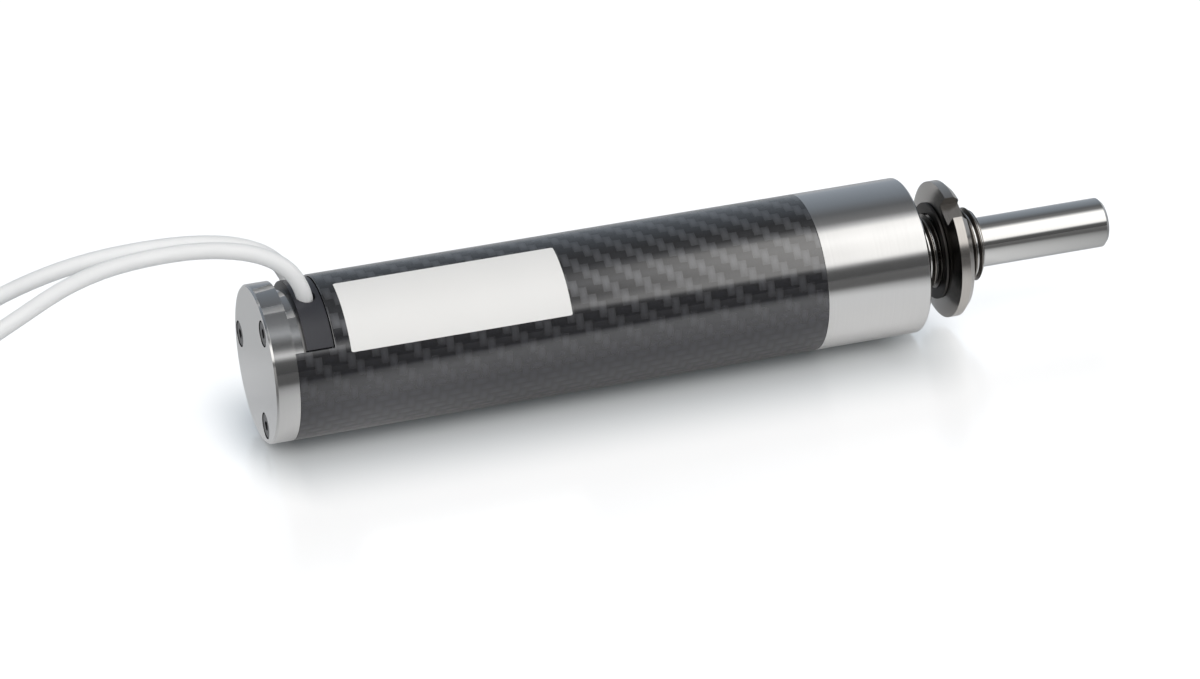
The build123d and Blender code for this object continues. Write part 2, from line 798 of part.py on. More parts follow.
sides = {
    "near": (-1, near_route, near_lead_z, near_plug_z),
    "far": (1, far_route, coil_top, far_plug_z),
}
for side_name, (side, route, lead_z, plug_z) in sides.items():
    cable_tube(f"{side_name}_cable", [(x, side * y, z) for x, y, z in route])
    lead_route = [
        (lead_x, side * coil_leave_y, lead_z),
        (lead_x - lead_run, side * coil_leave_y, lead_z),
        (lead_x - lead_run - lead_fall, 0, plug_z),
        (plug_end_x, 0, plug_z),
    ]
    cable_tube(f"{side_name}_lead", lead_route)

    # Hank of the length that is put away
    with BuildPart() as coil:
        with BuildSketch(Plane(origin=(coil_x, side * coil_y, coil_lift))):
            SlotCenterToCenter(coil_straight, 2 * coil_outer)
            SlotCenterToCenter(coil_straight, 2 * coil_inner, mode=Mode.SUBTRACT)
        extrude(amount=coil_high)
    keep(coil, f"{side_name}_coil")

    # Two ties, each a loop round one leg of the hank
    with BuildPart() as ties:
        for leg in (-1, 1):
            tie_y = side * coil_y + leg * coil_bend_d / 2
            with BuildSketch(Plane(origin=(coil_x, tie_y, 0))):
                Rectangle(tie_wide, coil_wide + 2 * tie_round)
            extrude(amount=coil_high + 2 * coil_lift)
            with BuildSketch(Plane(origin=(coil_x, tie_y, coil_lift))):
                Rectangle(2 * tie_wide, coil_wide + 2 * tie_round - 2 * coil_lift)
            extrude(amount=coil_high, mode=Mode.SUBTRACT)
    keep(ties, f"{side_name}_ties")

    # Plug: tapered boot, two hood halves, flange with its shell, insert, pins and two jackscrews
    hood_rear = plug_end_x - boot_len
    hood_step = hood_rear - hood_neck_len
    hood_face = hood_step - hood_front_len
    hood_len = hood_front_len + hood_neck_len
    plug_back = Plane(origin=(hood_rear, 0, plug_z), x_dir=(0, 1, 0), z_dir=(1, 0, 0))
    with BuildPart() as boot:
        with BuildSketch(plug_back):
            Circle(boot_root_d / 2)
        with BuildSketch(plug_back.offset(boot_len)):
            Circle(boot_tip_d / 2)
        loft()
    keep(boot, f"{side_name}_plug_boot")

    hood_plane = Plane(origin=(hood_face, 0, plug_z), x_dir=(1, 0, 0), z_dir=(0, 0, 1))
    for half, up in (("lower", -1), ("upper", 1)):
        with BuildPart() as hood:
            with BuildSketch(hood_plane):
                with Locations((hood_front_len / 2, 0)):
                    RectangleRounded(hood_front_len, hood_wide, hood_round)
                with Locations((hood_front_len + (hood_neck_len - hood_round) / 2, 0)):
                    Rectangle(hood_neck_len + hood_round, hood_neck_wide)
            extrude(amount=up * hood_thick / 2)
            broad_faces = hood.faces().sort_by(Axis.Z)
            chamfer(broad_faces[-1 if up > 0 else 0].edges(), hood_edge)
            with BuildSketch(hood_plane):
                with Locations((hood_len / 2 - hood_wall, 0)):
                    Rectangle(hood_len - 2 * hood_wall, hood_neck_wide - 2 * hood_wall)
                with Locations((0, 0)):
                    Rectangle(2 * insert_len, shell_wide)
            extrude(amount=up * (hood_thick / 2 - hood_wall), mode=Mode.SUBTRACT)
            with BuildSketch(plug_back.offset(-hood_neck_len - hood_front_len)):
                with Locations((-jack_spacing / 2, 0), (jack_spacing / 2, 0)):
                    Circle(jack_hole_d / 2)
            extrude(amount=hood_len, mode=Mode.SUBTRACT)
        keep(hood, f"{side_name}_plug_hood_{half}")

    front_plane = Plane(origin=(hood_face, 0, plug_z), x_dir=(0, -1, 0), z_dir=(-1, 0, 0))
    with BuildPart() as shell:
        with BuildSketch(front_plane):
            RectangleRounded(flange_wide, flange_tall, hood_round)
            with Locations((-jack_spacing / 2, 0), (jack_spacing / 2, 0)):
                Circle(jack_hole_d / 2, mode=Mode.SUBTRACT)
        extrude(amount=flange_thick)
        with BuildSketch(front_plane):
            Trapezoid(shell_wide, shell_tall, 90 - shell_slant)
        extrude(amount=flange_thick + shell_len)
        with BuildSketch(front_plane):
            Trapezoid(shell_wide - 2 * shell_wall, shell_tall - 2 * shell_wall, 90 - shell_slant)
        extrude(amount=flange_thick + shell_len, mode=Mode.SUBTRACT)
    keep(shell, f"{side_name}_plug_shell")

    with BuildPart() as insert:
        with BuildSketch(front_plane.offset(-insert_len)):
            insert_wide = shell_wide - 2 * shell_wall - seat_clearance
            insert_tall = shell_tall - 2 * shell_wall - seat_clearance
            Trapezoid(insert_wide, insert_tall, 90 - shell_slant)
        extrude(amount=insert_len + flange_thick)
    keep(insert, f"{side_name}_plug_insert")

    with BuildPart() as pins:
        with BuildSketch(front_plane.offset(flange_thick)):
            for row in range(pin_rows):
                shift = pin_pitch / 2 * (row % 2) - pin_pitch / 4
                with Locations((shift, (row - (pin_rows - 1) / 2) * pin_row_pitch)):
                    with GridLocations(pin_pitch, 1, pins_per_row, 1):
                        Circle(pin_d / 2)
        extrude(amount=pin_len)
    keep(pins, f"{side_name}_plug_pins")

    for place, offset in (("left", -1), ("right", 1)):
        with BuildPart() as jack:
            jack_place = (hood_step + jack_gap, offset * jack_spacing / 2, plug_z)
            knob = Plane(origin=jack_place, x_dir=(0, 1, 0), z_dir=(1, 0, 0))
            with BuildSketch(knob):
                Circle(jack_knob_d / 2)
            extrude(amount=jack_knob_len)
            with BuildSketch(knob):
                Circle(jack_d / 2)
            extrude(amount=-(jack_gap + hood_front_len + jack_out))
            with BuildSketch(knob.offset(jack_knob_len)):
                Rectangle(jack_slot, jack_knob_d)
            extrude(amount=-2 * jack_slot, mode=Mode.SUBTRACT)
        keep(jack, f"{side_name}_jackscrew_{place}")
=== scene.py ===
"""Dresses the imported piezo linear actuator: a woven tube, turned steel ends, a polished rod and two cables.

Everything is in metres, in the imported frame: +X out of the nose along the rod, +Z up, and the floor at Z 0.
Angles round the body are counted from the side that faces -Y, upwards, where nothing else is said.
"""
import json
import math

import bmesh
import bpy
from bpy.props import FloatProperty, FloatVectorProperty, IntProperty, PointerProperty
from mathutils import Matrix, Vector


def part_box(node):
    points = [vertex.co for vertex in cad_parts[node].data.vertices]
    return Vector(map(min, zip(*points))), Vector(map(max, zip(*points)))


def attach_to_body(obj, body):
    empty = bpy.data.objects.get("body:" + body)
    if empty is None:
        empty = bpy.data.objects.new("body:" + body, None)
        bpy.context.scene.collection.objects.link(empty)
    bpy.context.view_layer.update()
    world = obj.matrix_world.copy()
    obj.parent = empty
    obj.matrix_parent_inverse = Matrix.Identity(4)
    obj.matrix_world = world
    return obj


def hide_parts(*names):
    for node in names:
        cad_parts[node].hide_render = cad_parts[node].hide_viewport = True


bl_info = {
    "name": "Piezo Linear Actuator",
    "version": (1, 0, 0),
    "blender": (4, 5, 0),
    "location": "3D View > Sidebar > Actuator",
    "description": "Builds the pieces and finishes of a piezo linear actuator on its packed frame",
    "category": "Add Mesh",
}

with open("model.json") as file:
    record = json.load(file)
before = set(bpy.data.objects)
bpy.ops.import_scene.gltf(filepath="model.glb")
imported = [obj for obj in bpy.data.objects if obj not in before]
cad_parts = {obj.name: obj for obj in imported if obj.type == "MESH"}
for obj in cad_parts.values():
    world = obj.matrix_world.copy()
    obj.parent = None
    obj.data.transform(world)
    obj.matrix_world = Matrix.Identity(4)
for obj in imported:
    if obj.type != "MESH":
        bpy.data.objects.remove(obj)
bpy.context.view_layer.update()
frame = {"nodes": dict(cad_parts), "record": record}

MM = 0.001
HEAD_LOW, HEAD_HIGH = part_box("front_body")
TUBE_LOW, TUBE_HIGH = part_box("carbon_tube")
CAP_LOW, CAP_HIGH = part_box("rear_cap")
NUT_LOW, NUT_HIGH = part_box("ring_nut")
WASHER_LOW, WASHER_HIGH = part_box("lock_washer")
ROD_LOW, ROD_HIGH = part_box("push_rod")
BODY_R = (HEAD_HIGH.z - HEAD_LOW.z) / 2
AXIS_Z = BODY_R
HEAD_LONG = 17.3 * MM
SHOULDER = TUBE_HIGH.x + HEAD_LONG

BLACK = (0.0, 0.0, 0.0)
WHITE = (1.0, 1.0, 1.0)


# Sizes, colours and studio settings that a user would change

def length(name, description, default):
    return FloatProperty(name=name, description=description, default=default, unit="LENGTH", min=0.0,
                         precision=5)


def angle(name, description, degrees):
    return FloatProperty(name=name, description=description, default=math.radians(degrees),
                         subtype="ANGLE", unit="ROTATION")


def colour(name, description, default):
    return FloatVectorProperty(name=name, description=description, default=default, subtype="COLOR",
                               size=3, min=0.0, max=1.0)


def amount(name, description, default):
    return FloatProperty(name=name, description=description, default=default)


class ActuatorSizes(bpy.types.PropertyGroup):
    edge: length("Edge break", "Width of the broken edges on the turned parts", 0.12 * MM)
    nose_r: length("Nose radius", "Outside radius of the nose thread", 6.0 * MM)
    thread_pitch: length("Thread pitch", "Distance between two turns of the nose thread", 1.0 * MM)
    thread_deep: length("Thread depth", "Height of the nose thread", 0.6 * MM)
    nose_bore_r: length("Nose bore", "Radius of the bore at the nose's end", 4.75 * MM)
    spigot_r: length("Spigot radius", "Radius of the spigots inside the tube", 10.95 * MM)
    rod_r: length("Rod radius", "Radius of the push rod", 4.0 * MM)
    rod_bevel: length("Rod tip bevel", "Width of the bevel at the rod's tip", 0.6 * MM)
    tube_wall: length("Tube wall", "Wall of the woven tube", 1.5 * MM)
    window_long: length("Window length", "Length of the cable window in the tube", 6.3 * MM)
    window_half: angle("Window half angle", "From straight up to an edge of the cable window", 67)
    label_start: length("Label start", "Distance from the tube's rear end to the label", 8.7 * MM)
    label_long: length("Label length", "Length of the bare label along the tube", 35.5 * MM)
    label_low: angle("Label lower edge", "Angle of the label's lower edge", 17.6)
    label_high: angle("Label upper edge", "Angle of the label's upper edge", 75)
    label_thick: length("Label thickness", "Thickness of the bare label", 0.06 * MM)
    cable_r: length("Cable radius", "Radius of the two cables", 1.3 * MM)
    coil_layers: IntProperty(name="Hank layers", description="Layers of cable in a hank", default=7, min=7)
    tow: length("Tow width", "Width of one tow of the carbon weave", 78.54 / 60 * MM)


class ActuatorColours(bpy.types.PropertyGroup):
    steel: colour("Steel", "Turned stainless steel", (0.60, 0.60, 0.60))
    rod: colour("Rod", "Ground and polished rod", (0.62, 0.62, 0.615))
    nut: colour("Nut", "Steel of the ring nut", (0.47, 0.45, 0.43))
    washer: colour("Washer", "Dark steel of the washer", (0.08, 0.075, 0.072))
    screws: colour("Screws", "Socket screws", (0.11, 0.11, 0.115))
    # The thread tint is the head's steel darkened to about half: painted shade that falls on the nose between
    # the head and the nut.
    thread: colour("Thread", "The cut flanks of the nose thread", (0.31, 0.29, 0.27))
    # These two tints paint the weave's sheen: the tows are alike, and how they lie to the light makes one set
    # look bright and the other dark.
    tow_sheen_bright: colour("Light tow", "Tows that shine towards the light", (0.098, 0.100, 0.108))
    tow_dark: colour("Dark tow", "Tows that lie across the light", (0.011, 0.011, 0.013))
    label: colour("Label", "Bare white label", (0.78, 0.78, 0.775))
    jacket: colour("Cable jacket", "White jacket of the cables", (0.80, 0.81, 0.82))
    block: colour("Cable block", "Dark moulded block in the window", (0.030, 0.031, 0.038))
    hood: colour("Plug hood", "Grey moulded plug hoods", (0.30, 0.31, 0.32))
    rubber: colour("Rubber", "Boots, ties and seals", (0.018, 0.018, 0.019))


class StudioSettings(bpy.types.PropertyGroup):
    softbox: amount("Softbox", "Brightness of the studio that the metal mirrors", 1.5)
    key_watts: amount("Key lamp", "Power of the soft key lamp in watts", 1.6)
    floor_lift: amount("Floor lift", "Light added to the floor that the camera sees", 1.3)
    lens: amount("Lens", "Focal length of the camera in millimetres", 165.0)


# Mesh tools

def wire(bm, points, closed=True):
    """Vertices joined by edges, in order."""
    verts = [bm.verts.new(p) for p in points]
    pairs = list(zip(verts, verts[1:]))
    if closed:
        pairs.append((verts[-1], verts[0]))
    return verts + [bm.edges.new(pair) for pair in pairs]


def spin(bm, shape, turned, steps, place=(0.0, AXIS_Z), **more):
    """Spin a shape round an axis along X through place (y, z)."""
    return bmesh.ops.spin(bm, geom=shape, cent=(0, *place), axis=(1, 0, 0), angle=turned, steps=steps,
                          **more)


def tilt(bm, turned):
    """Turn a whole bmesh round the body's axis."""
    bmesh.ops.rotate(bm, verts=bm.verts, cent=(0, 0, AXIS_Z), matrix=Matrix.Rotation(turned, 3, "X"))


def lathe(profile, steps=128, place=(0.0, AXIS_Z), closed=True):
    """Spin a profile of (along, radius) pairs once round an axis along X through place (y, z)."""
    y, z = place
    bm = bmesh.new()
    shape = wire(bm, [(x, y, z + r) for x, r in profile], closed)
    spin(bm, shape, math.tau, steps, place, use_merge=True)
    return closed_up(bm)


def rod_of(start, end, radius, place, steps=24):
    """A plain round bar along X, to cut with."""
    bm = bmesh.new()
    turn = Matrix.Translation(((start + end) / 2, *place)) @ Matrix.Rotation(math.pi / 2, 4, "Y")
    bmesh.ops.create_cone(bm, cap_ends=True, segments=steps, radius1=radius, radius2=radius,
                          depth=abs(end - start), matrix=turn)
    return bm


def block_of(low, high):
    """A box between two corners."""
    low, high = Vector(low), Vector(high)
    bm = bmesh.new()
    size = Matrix.Diagonal((*(high - low), 1.0))
    bmesh.ops.create_cube(bm, size=1.0, matrix=Matrix.Translation((low + high) / 2) @ size)
    return bm


def closed_up(bm):
    """Merge doubles and point the faces outwards."""
    bmesh.ops.remove_doubles(bm, verts=bm.verts, dist=1e-7)
    bmesh.ops.recalc_face_normals(bm, faces=bm.faces)
    return bm


def together(parts):
    """Several bmeshes as one."""
    whole = bmesh.new()
    for part in parts:
        mesh = bpy.data.meshes.new("part")
        part.to_mesh(mesh)
        part.free()
        whole.from_mesh(mesh)
        bpy.data.meshes.remove(mesh)
    return whole


def new_object(name, data):
    made = bpy.data.objects.new(name, data)
    bpy.context.scene.collection.objects.link(made)
    return made


def put(bm, name, finish, limit=35):
    """Make a piece of a bmesh, smooth but for edges past limit in degrees, and give it its finish."""
    for face in bm.faces:
        face.smooth = True
    for edge in bm.edges:
        edge.smooth = edge.calc_face_angle(0.0) < math.radians(limit)
    mesh = bpy.data.meshes.new(name)
    bm.to_mesh(mesh)
    bm.free()
    mesh.materials.append(finish)
    return new_object(name, mesh)


def cut(piece, cutter_parts):
    """Take cutter shapes out of a piece, for good."""
    cutter = put(together(cutter_parts), "cutter", piece.data.materials[0])
    boolean = piece.modifiers.new("Cut", "BOOLEAN")
    boolean.operation = "DIFFERENCE"
    boolean.solver = "EXACT"
    boolean.object = cutter
    mesh = bpy.data.meshes.new_from_object(piece.evaluated_get(bpy.context.evaluated_depsgraph_get()))
    piece.modifiers.clear()
    old = piece.data
    piece.data = mesh
    bpy.data.meshes.remove(old)
    bpy.data.objects.remove(cutter)
    for face in piece.data.polygons:
        face.use_smooth = True


def break_edges(piece, width, segments=2):
    """Round the sharp edges of a piece a little, as a tool or a mould leaves them."""
    bevel = piece.modifiers.new("Edges", "BEVEL")
    bevel.width = width
    bevel.segments = segments
    bevel.limit_method = "ANGLE"
    bevel.angle_limit = math.radians(30)
    bevel.harden_normals = True
    bevel.use_clamp_overlap = True
    return piece


def attach(piece, slot_name, body, *nodes):
    """Fix a piece to its CAD body and hide the nodes that it stands for; its slot name is not used."""
    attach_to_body(piece, body)
    if nodes:
        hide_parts(*nodes)


def dress(node, name, finish, edge, slot_name, body="housing", segments=2):
    """Stand a copy of a CAD node in its place, with clean faces and broken edges."""
    bm = bmesh.new()
    bm.from_mesh(frame["nodes"][node].data)
    bmesh.ops.remove_doubles(bm, verts=bm.verts, dist=1e-6)
    bmesh.ops.dissolve_limit(bm, angle_limit=math.radians(0.5), verts=bm.verts, edges=bm.edges,
                             delimit=set())
    attach(break_edges(put(bm, name, finish), edge, segments), slot_name, body, node)


# Material tools

class Graph:
    """A small helper that adds nodes to a tree and links them by socket name."""

    def __init__(self, tree):
        self.tree = tree

    def add(self, kind, **settings):
        node = self.tree.nodes.new(kind)
        for key, value in settings.items():
            setattr(node, key, value)
        return node

    def feed(self, node, **values):
        """Link or set inputs, named in lower case with _ for a space."""
        by_name = {s.name.lower().replace(" ", "_"): s for s in node.inputs if s.enabled}
        for key, value in values.items():
            self.plug(by_name[key], value)
        return node

    def plug(self, target, value):
        if isinstance(value, bpy.types.NodeSocket):
            self.tree.links.new(value, target)
        else:
            target.default_value = value

    def math(self, operation, *values):
        node = self.add("ShaderNodeMath", operation=operation)
        for target, value in zip(node.inputs, values):
            self.plug(target, value)
        return node.outputs[0]

    def plus(self, first, second):
        return self.math("ADD", first, second)

    def minus(self, first, second):
        return self.math("SUBTRACT", first, second)

    def times(self, first, second):
        return self.math("MULTIPLY", first, second)

    def far(self, first, second):
        """The diagonal of two distances that are square to each other."""
        return self.math("SQRT", self.plus(self.times(first, first), self.times(second, second)))

    def mix(self, factor, first, second):
        """Mix two colours."""
        node = self.add("ShaderNodeMix", data_type="RGBA")
        self.plug(node.inputs[0], factor)
        for target, value in ((node.inputs[6], first), (node.inputs[7], second)):
            self.plug(target, (*value, 1.0) if isinstance(value, tuple) and len(value) == 3 else value)
        return node.outputs[2]

    def blend(self, factor, first, second):
        """Mix two shaders."""
        node = self.add("ShaderNodeMixShader")
        for target, value in zip(node.inputs, (factor, first, second)):
            self.plug(target, value)
        return node.outputs[0]

    def between(self, value, start, end, low=0.0, high=1.0, way="LINEAR"):
        """Take a value from start..end to low..high, and hold it past both ends."""
        node = self.add("ShaderNodeMapRange", interpolation_type=way)
        return self.feed(node, value=value, from_min=start, from_max=end, to_min=low, to_max=high).outputs[0]

    def spread(self, mask, low, high):
        """Take a mask from 0..1 to low..high."""
        return self.between(mask, 0.0, 1.0, low, high)

    def split(self, vector):
        return self.feed(self.add("ShaderNodeSeparateXYZ"), vector=vector).outputs

    def scaled(self, vector, factor):
        node = self.add("ShaderNodeVectorMath", operation="SCALE")
        self.plug(node.inputs[0], vector)
        self.plug(node.inputs["Scale"], factor)
        return node.outputs[0]

    def noise(self, dimensions="3D", **values):
        node = self.add("ShaderNodeTexNoise", noise_dimensions=dimensions)
        return self.feed(node, **values).outputs[0]

    def relief(self, strength, depth, height):
        """A normal that raises a mask out of the surface, to a depth in millimetres."""
        bump = self.add("ShaderNodeBump")
        return self.feed(bump, strength=strength, distance=depth * MM, height=height).outputs[0]


def open_group(tree, numbers, masks):
    """Give a node group a vector and numbers to take in and masks to give out, and return both ends."""
    tree.interface.new_socket("Vector", in_out="INPUT", socket_type="NodeSocketVector")
    for name, default in numbers.items():
        number = tree.interface.new_socket(name, in_out="INPUT", socket_type="NodeSocketFloat")
        number.default_value = default
    for name in masks:
        tree.interface.new_socket(name, in_out="OUTPUT", socket_type="NodeSocketFloat")
    g = Graph(tree)
    return g, g.add("NodeGroupInput").outputs, g.add("NodeGroupOutput").inputs


def build_turning(tree):
    """Fine tool marks round the actuator's axis: rings on a turned side, circles on a turned face."""
    g, given, made = open_group(tree, {"Coarse": 3000.0, "Fine": 9000.0}, ("Marks", "Smudges"))
    parts = g.split(given["Vector"])
    way = g.plus(parts["X"], g.far(parts["Y"], g.minus(parts["Z"], AXIS_Z)))
    coarse = g.noise("1D", w=way, scale=given["Coarse"], detail=2.0, roughness=0.7)
    fine = g.noise("1D", w=way, scale=given["Fine"], detail=1.0, roughness=0.5)
    g.plug(made["Marks"], g.plus(g.times(coarse, 0.6), g.times(fine, 0.4)))
    g.plug(made["Smudges"], g.noise(vector=given["Vector"], scale=160.0, detail=4.0, roughness=0.6))


def build_grain(tree):
    """The fine grain of a moulded or cast surface, with broad uneven patches."""
    g, given, made = open_group(tree, {"Scale": 4000.0}, ("Grain", "Patches"))
    grain = g.add("ShaderNodeTexVoronoi", feature="SMOOTH_F1")
    g.feed(grain, vector=given["Vector"], scale=given["Scale"])
    g.plug(made["Grain"], grain.outputs["Distance"])
    g.plug(made["Patches"], g.noise(vector=given["Vector"], scale=g.times(given["Scale"], 0.05), detail=3.0,
                                    roughness=0.6))


def build_twill(tree):
    """Two-by-two twill: each tow goes over two and under two, and the step makes diagonal bands."""
    g, given, made = open_group(tree, {"Tow": 0.001}, ("Along", "Height", "Fibres"))
    parts = g.split(given["Vector"])
    u = g.math("DIVIDE", parts["X"], given["Tow"])
    v = g.math("DIVIDE", parts["Y"], given["Tow"])
    across_u, across_v = g.math("FRACT", u), g.math("FRACT", v)
    step = g.math("FLOORED_MODULO", g.minus(g.math("FLOOR", u), g.math("FLOOR", v)), 4.0)
    along = g.math("LESS_THAN", step, 1.5)
    round_body = g.minus(1.0, along)

    def crown(fraction):
        """How a tow bulges across its width."""
        centred = g.minus(g.times(fraction, 2.0), 1.0)
        return g.minus(1.0, g.times(centred, centred))

    def rise(cells):
        """How a tow rises and dips over the two cells in which it lies on top."""
        return g.math("SINE", g.times(g.times(cells, 0.5), math.pi))

    def strands(across, lengthwise):
        """Fine streaks along a tow."""
        lane = g.feed(g.add("ShaderNodeCombineXYZ"), x=g.times(across, 9.0), y=g.times(lengthwise, 0.6))
        return g.noise("2D", vector=lane.outputs[0], scale=1.0, detail=1.0)

    def either(if_along, if_round):
        return g.plus(g.times(along, if_along), g.times(round_body, if_round))

    g.plug(made["Along"], along)
    g.plug(made["Height"], either(g.times(crown(across_v), rise(g.plus(across_u, step))),
                                  g.times(crown(across_u), rise(g.plus(across_v, g.minus(3.0, step))))))
    g.plug(made["Fibres"], either(strands(v, u), strands(u, v)))


def new_finish(name):
    """An empty material: itself, its graph, its shader and its coordinates."""
    finish = bpy.data.materials.new(name)
    finish.use_nodes = True
    g = Graph(finish.node_tree)
    shader = finish.node_tree.nodes["Principled BSDF"]
    return finish, g, shader, g.add("ShaderNodeTexCoord").outputs


def place_group(g, name, build, **values):
    """Place a node group that is built once and shared by every material that uses it."""
    tree = bpy.data.node_groups.get(name)
    if tree is None:
        tree = bpy.data.node_groups.new(name, "ShaderNodeTree")
        build(tree)
    return g.feed(g.add("ShaderNodeGroup", node_tree=tree), **values).outputs


def tones(tint, shade):
    """A darker and a lighter tone of a tint."""
    return tuple(c * (1 - shade) for c in tint), tuple(min(1.0, c * (1 + shade)) for c in tint)


def turned_metal(name, tint, rough=(0.2, 0.34), shade=0.12, depth=0.004, coarse=3000.0, fine=9000.0):
    """Bare metal with tool marks round the axis: how much they darken it, how deep they are, how dense.

    Other shiny surfaces mirror it darker than the camera sees it.
    """
    finish, g, shader, where = new_finish(name)
    marks = place_group(g, "Turning marks", build_turning, vector=where["Object"], coarse=coarse, fine=fine)
    mirrored = g.times(g.add("ShaderNodeLightPath").outputs["Is Glossy Ray"], 0.72)
    g.feed(shader, base_color=g.mix(mirrored, g.mix(marks["Marks"], *tones(tint, shade)), BLACK),
           roughness=g.spread(marks["Smudges"], *rough), normal=g.relief(0.35, depth, marks["Marks"]),
           metallic=1.0)
    return finish


def moulded(name, tint, rough=(0.35, 0.5), scale=4000.0, depth=0.01, shade=0.12, coat=0.0, metallic=0.0):
    """Plastic, rubber, ceramic or cast metal with a fine grain and uneven patches."""
    finish, g, shader, where = new_finish(name)
    grain = place_group(g, "Fine grain", build_grain, vector=where["Object"], scale=scale)
    g.feed(shader, base_color=g.mix(grain["Patches"], *tones(tint, shade)),
           roughness=g.spread(grain["Patches"], *rough), normal=g.relief(0.5, depth, grain["Grain"]),
           coat_weight=coat, metallic=metallic)
    return finish


def woven_carbon(name, sheen_tow_bright, dark_tow, tow):
    """Twill of carbon tows under a clear gloss coat, with painted sheen and shade: two tints for the tows,
    darker dips, and a plainer, darker underside with a weaker coat.
    """
    finish, g, shader, where = new_finish(name)
    twill = place_group(g, "Twill weave", build_twill, vector=where["UV"], tow=tow)
    height = g.split(where["Object"])["Z"]
    # Painted shade: towards the underside the weave's sheen gives way to one plain dark tint, and the coat
    # grows weaker.
    unlit_underside = (0.021, 0.022, 0.031)
    lit = g.times(g.between(height, 0.009, 0.019), 0.85)
    # Painted sheen: one set of tows gets the bright tint and the other the dark one.
    sheen = g.mix(lit, unlit_underside, g.mix(twill["Along"], tuple(sheen_tow_bright), tuple(dark_tow)))
    # Painted shade in the dips, where each tow sinks under the next; the bump comes from the same height.
    dip_shade = g.spread(twill["Height"], 0.6, 1.15)
    strand = g.spread(twill["Fibres"], 0.8, 1.2)
    g.feed(shader, base_color=g.scaled(sheen, g.times(dip_shade, strand)),
           roughness=g.spread(twill["Fibres"], 0.42, 0.56), normal=g.relief(0.6, 0.06, twill["Height"]),
           metallic=0.85, coat_weight=g.between(height, 0.008, 0.015, 0.5, 1.0), coat_roughness=0.03,
           coat_ior=2.05)
    return finish


# The stage

WARM = (1.0, 0.985, 0.96)
BLUISH = (0.97, 1.0, 1.04)
BLUE = (0.9, 1.0, 1.12)

# The light round the X axis: degrees from the -Y side upwards, strength and tint. The middle of the studio
# has a tall softbox in front; towards its ends there is only a narrow one, and a weak one above.
DARK_FRONT = ((-180, 0.37, BLUISH), (-90, 0.5, WHITE), (-12, 0.3, WHITE), (-4, 0.06, WHITE))
MIDDLE_LIGHT = (
    *DARK_FRONT, (14, 0.09, WHITE), (18.5, 0.36, WHITE), (22.5, 1.0, WARM), (32, 1.12, WARM),
    (55, 1.27, WARM), (72, 1.15, WARM), (78, 0.6, WHITE), (86, 0.18, WHITE), (103, 0.11, BLUISH),
    (122, 0.2, BLUE), (140, 0.25, BLUE), (165, 0.3, BLUE), (180, 0.37, BLUISH),
)
END_LIGHT = (
    *DARK_FRONT, (17, 0.09, WHITE), (20, 0.2, WHITE), (24, 0.6, WHITE), (27, 0.62, WHITE), (31, 0.34, WHITE),
    (36, 0.1, BLUISH), (43, 0.07, BLUISH), (50, 0.18, BLUISH), (57, 0.34, BLUISH), (64, 0.26, BLUISH),
    (72, 0.17, BLUISH), (103, 0.13, BLUISH), (140, 0.2, BLUE), (165, 0.25, BLUE), (180, 0.37, BLUISH),
)

CAMERA_PLACE = (-0.24707, -0.77968, 0.30276)
CAMERA_RIGHT = Vector((0.949612, -0.306889, -0.063616))
CAMERA_UP = Vector((0.162071, 0.307416, 0.937671))
KEY_PLACE = Vector((-0.1, -0.45, 0.75))


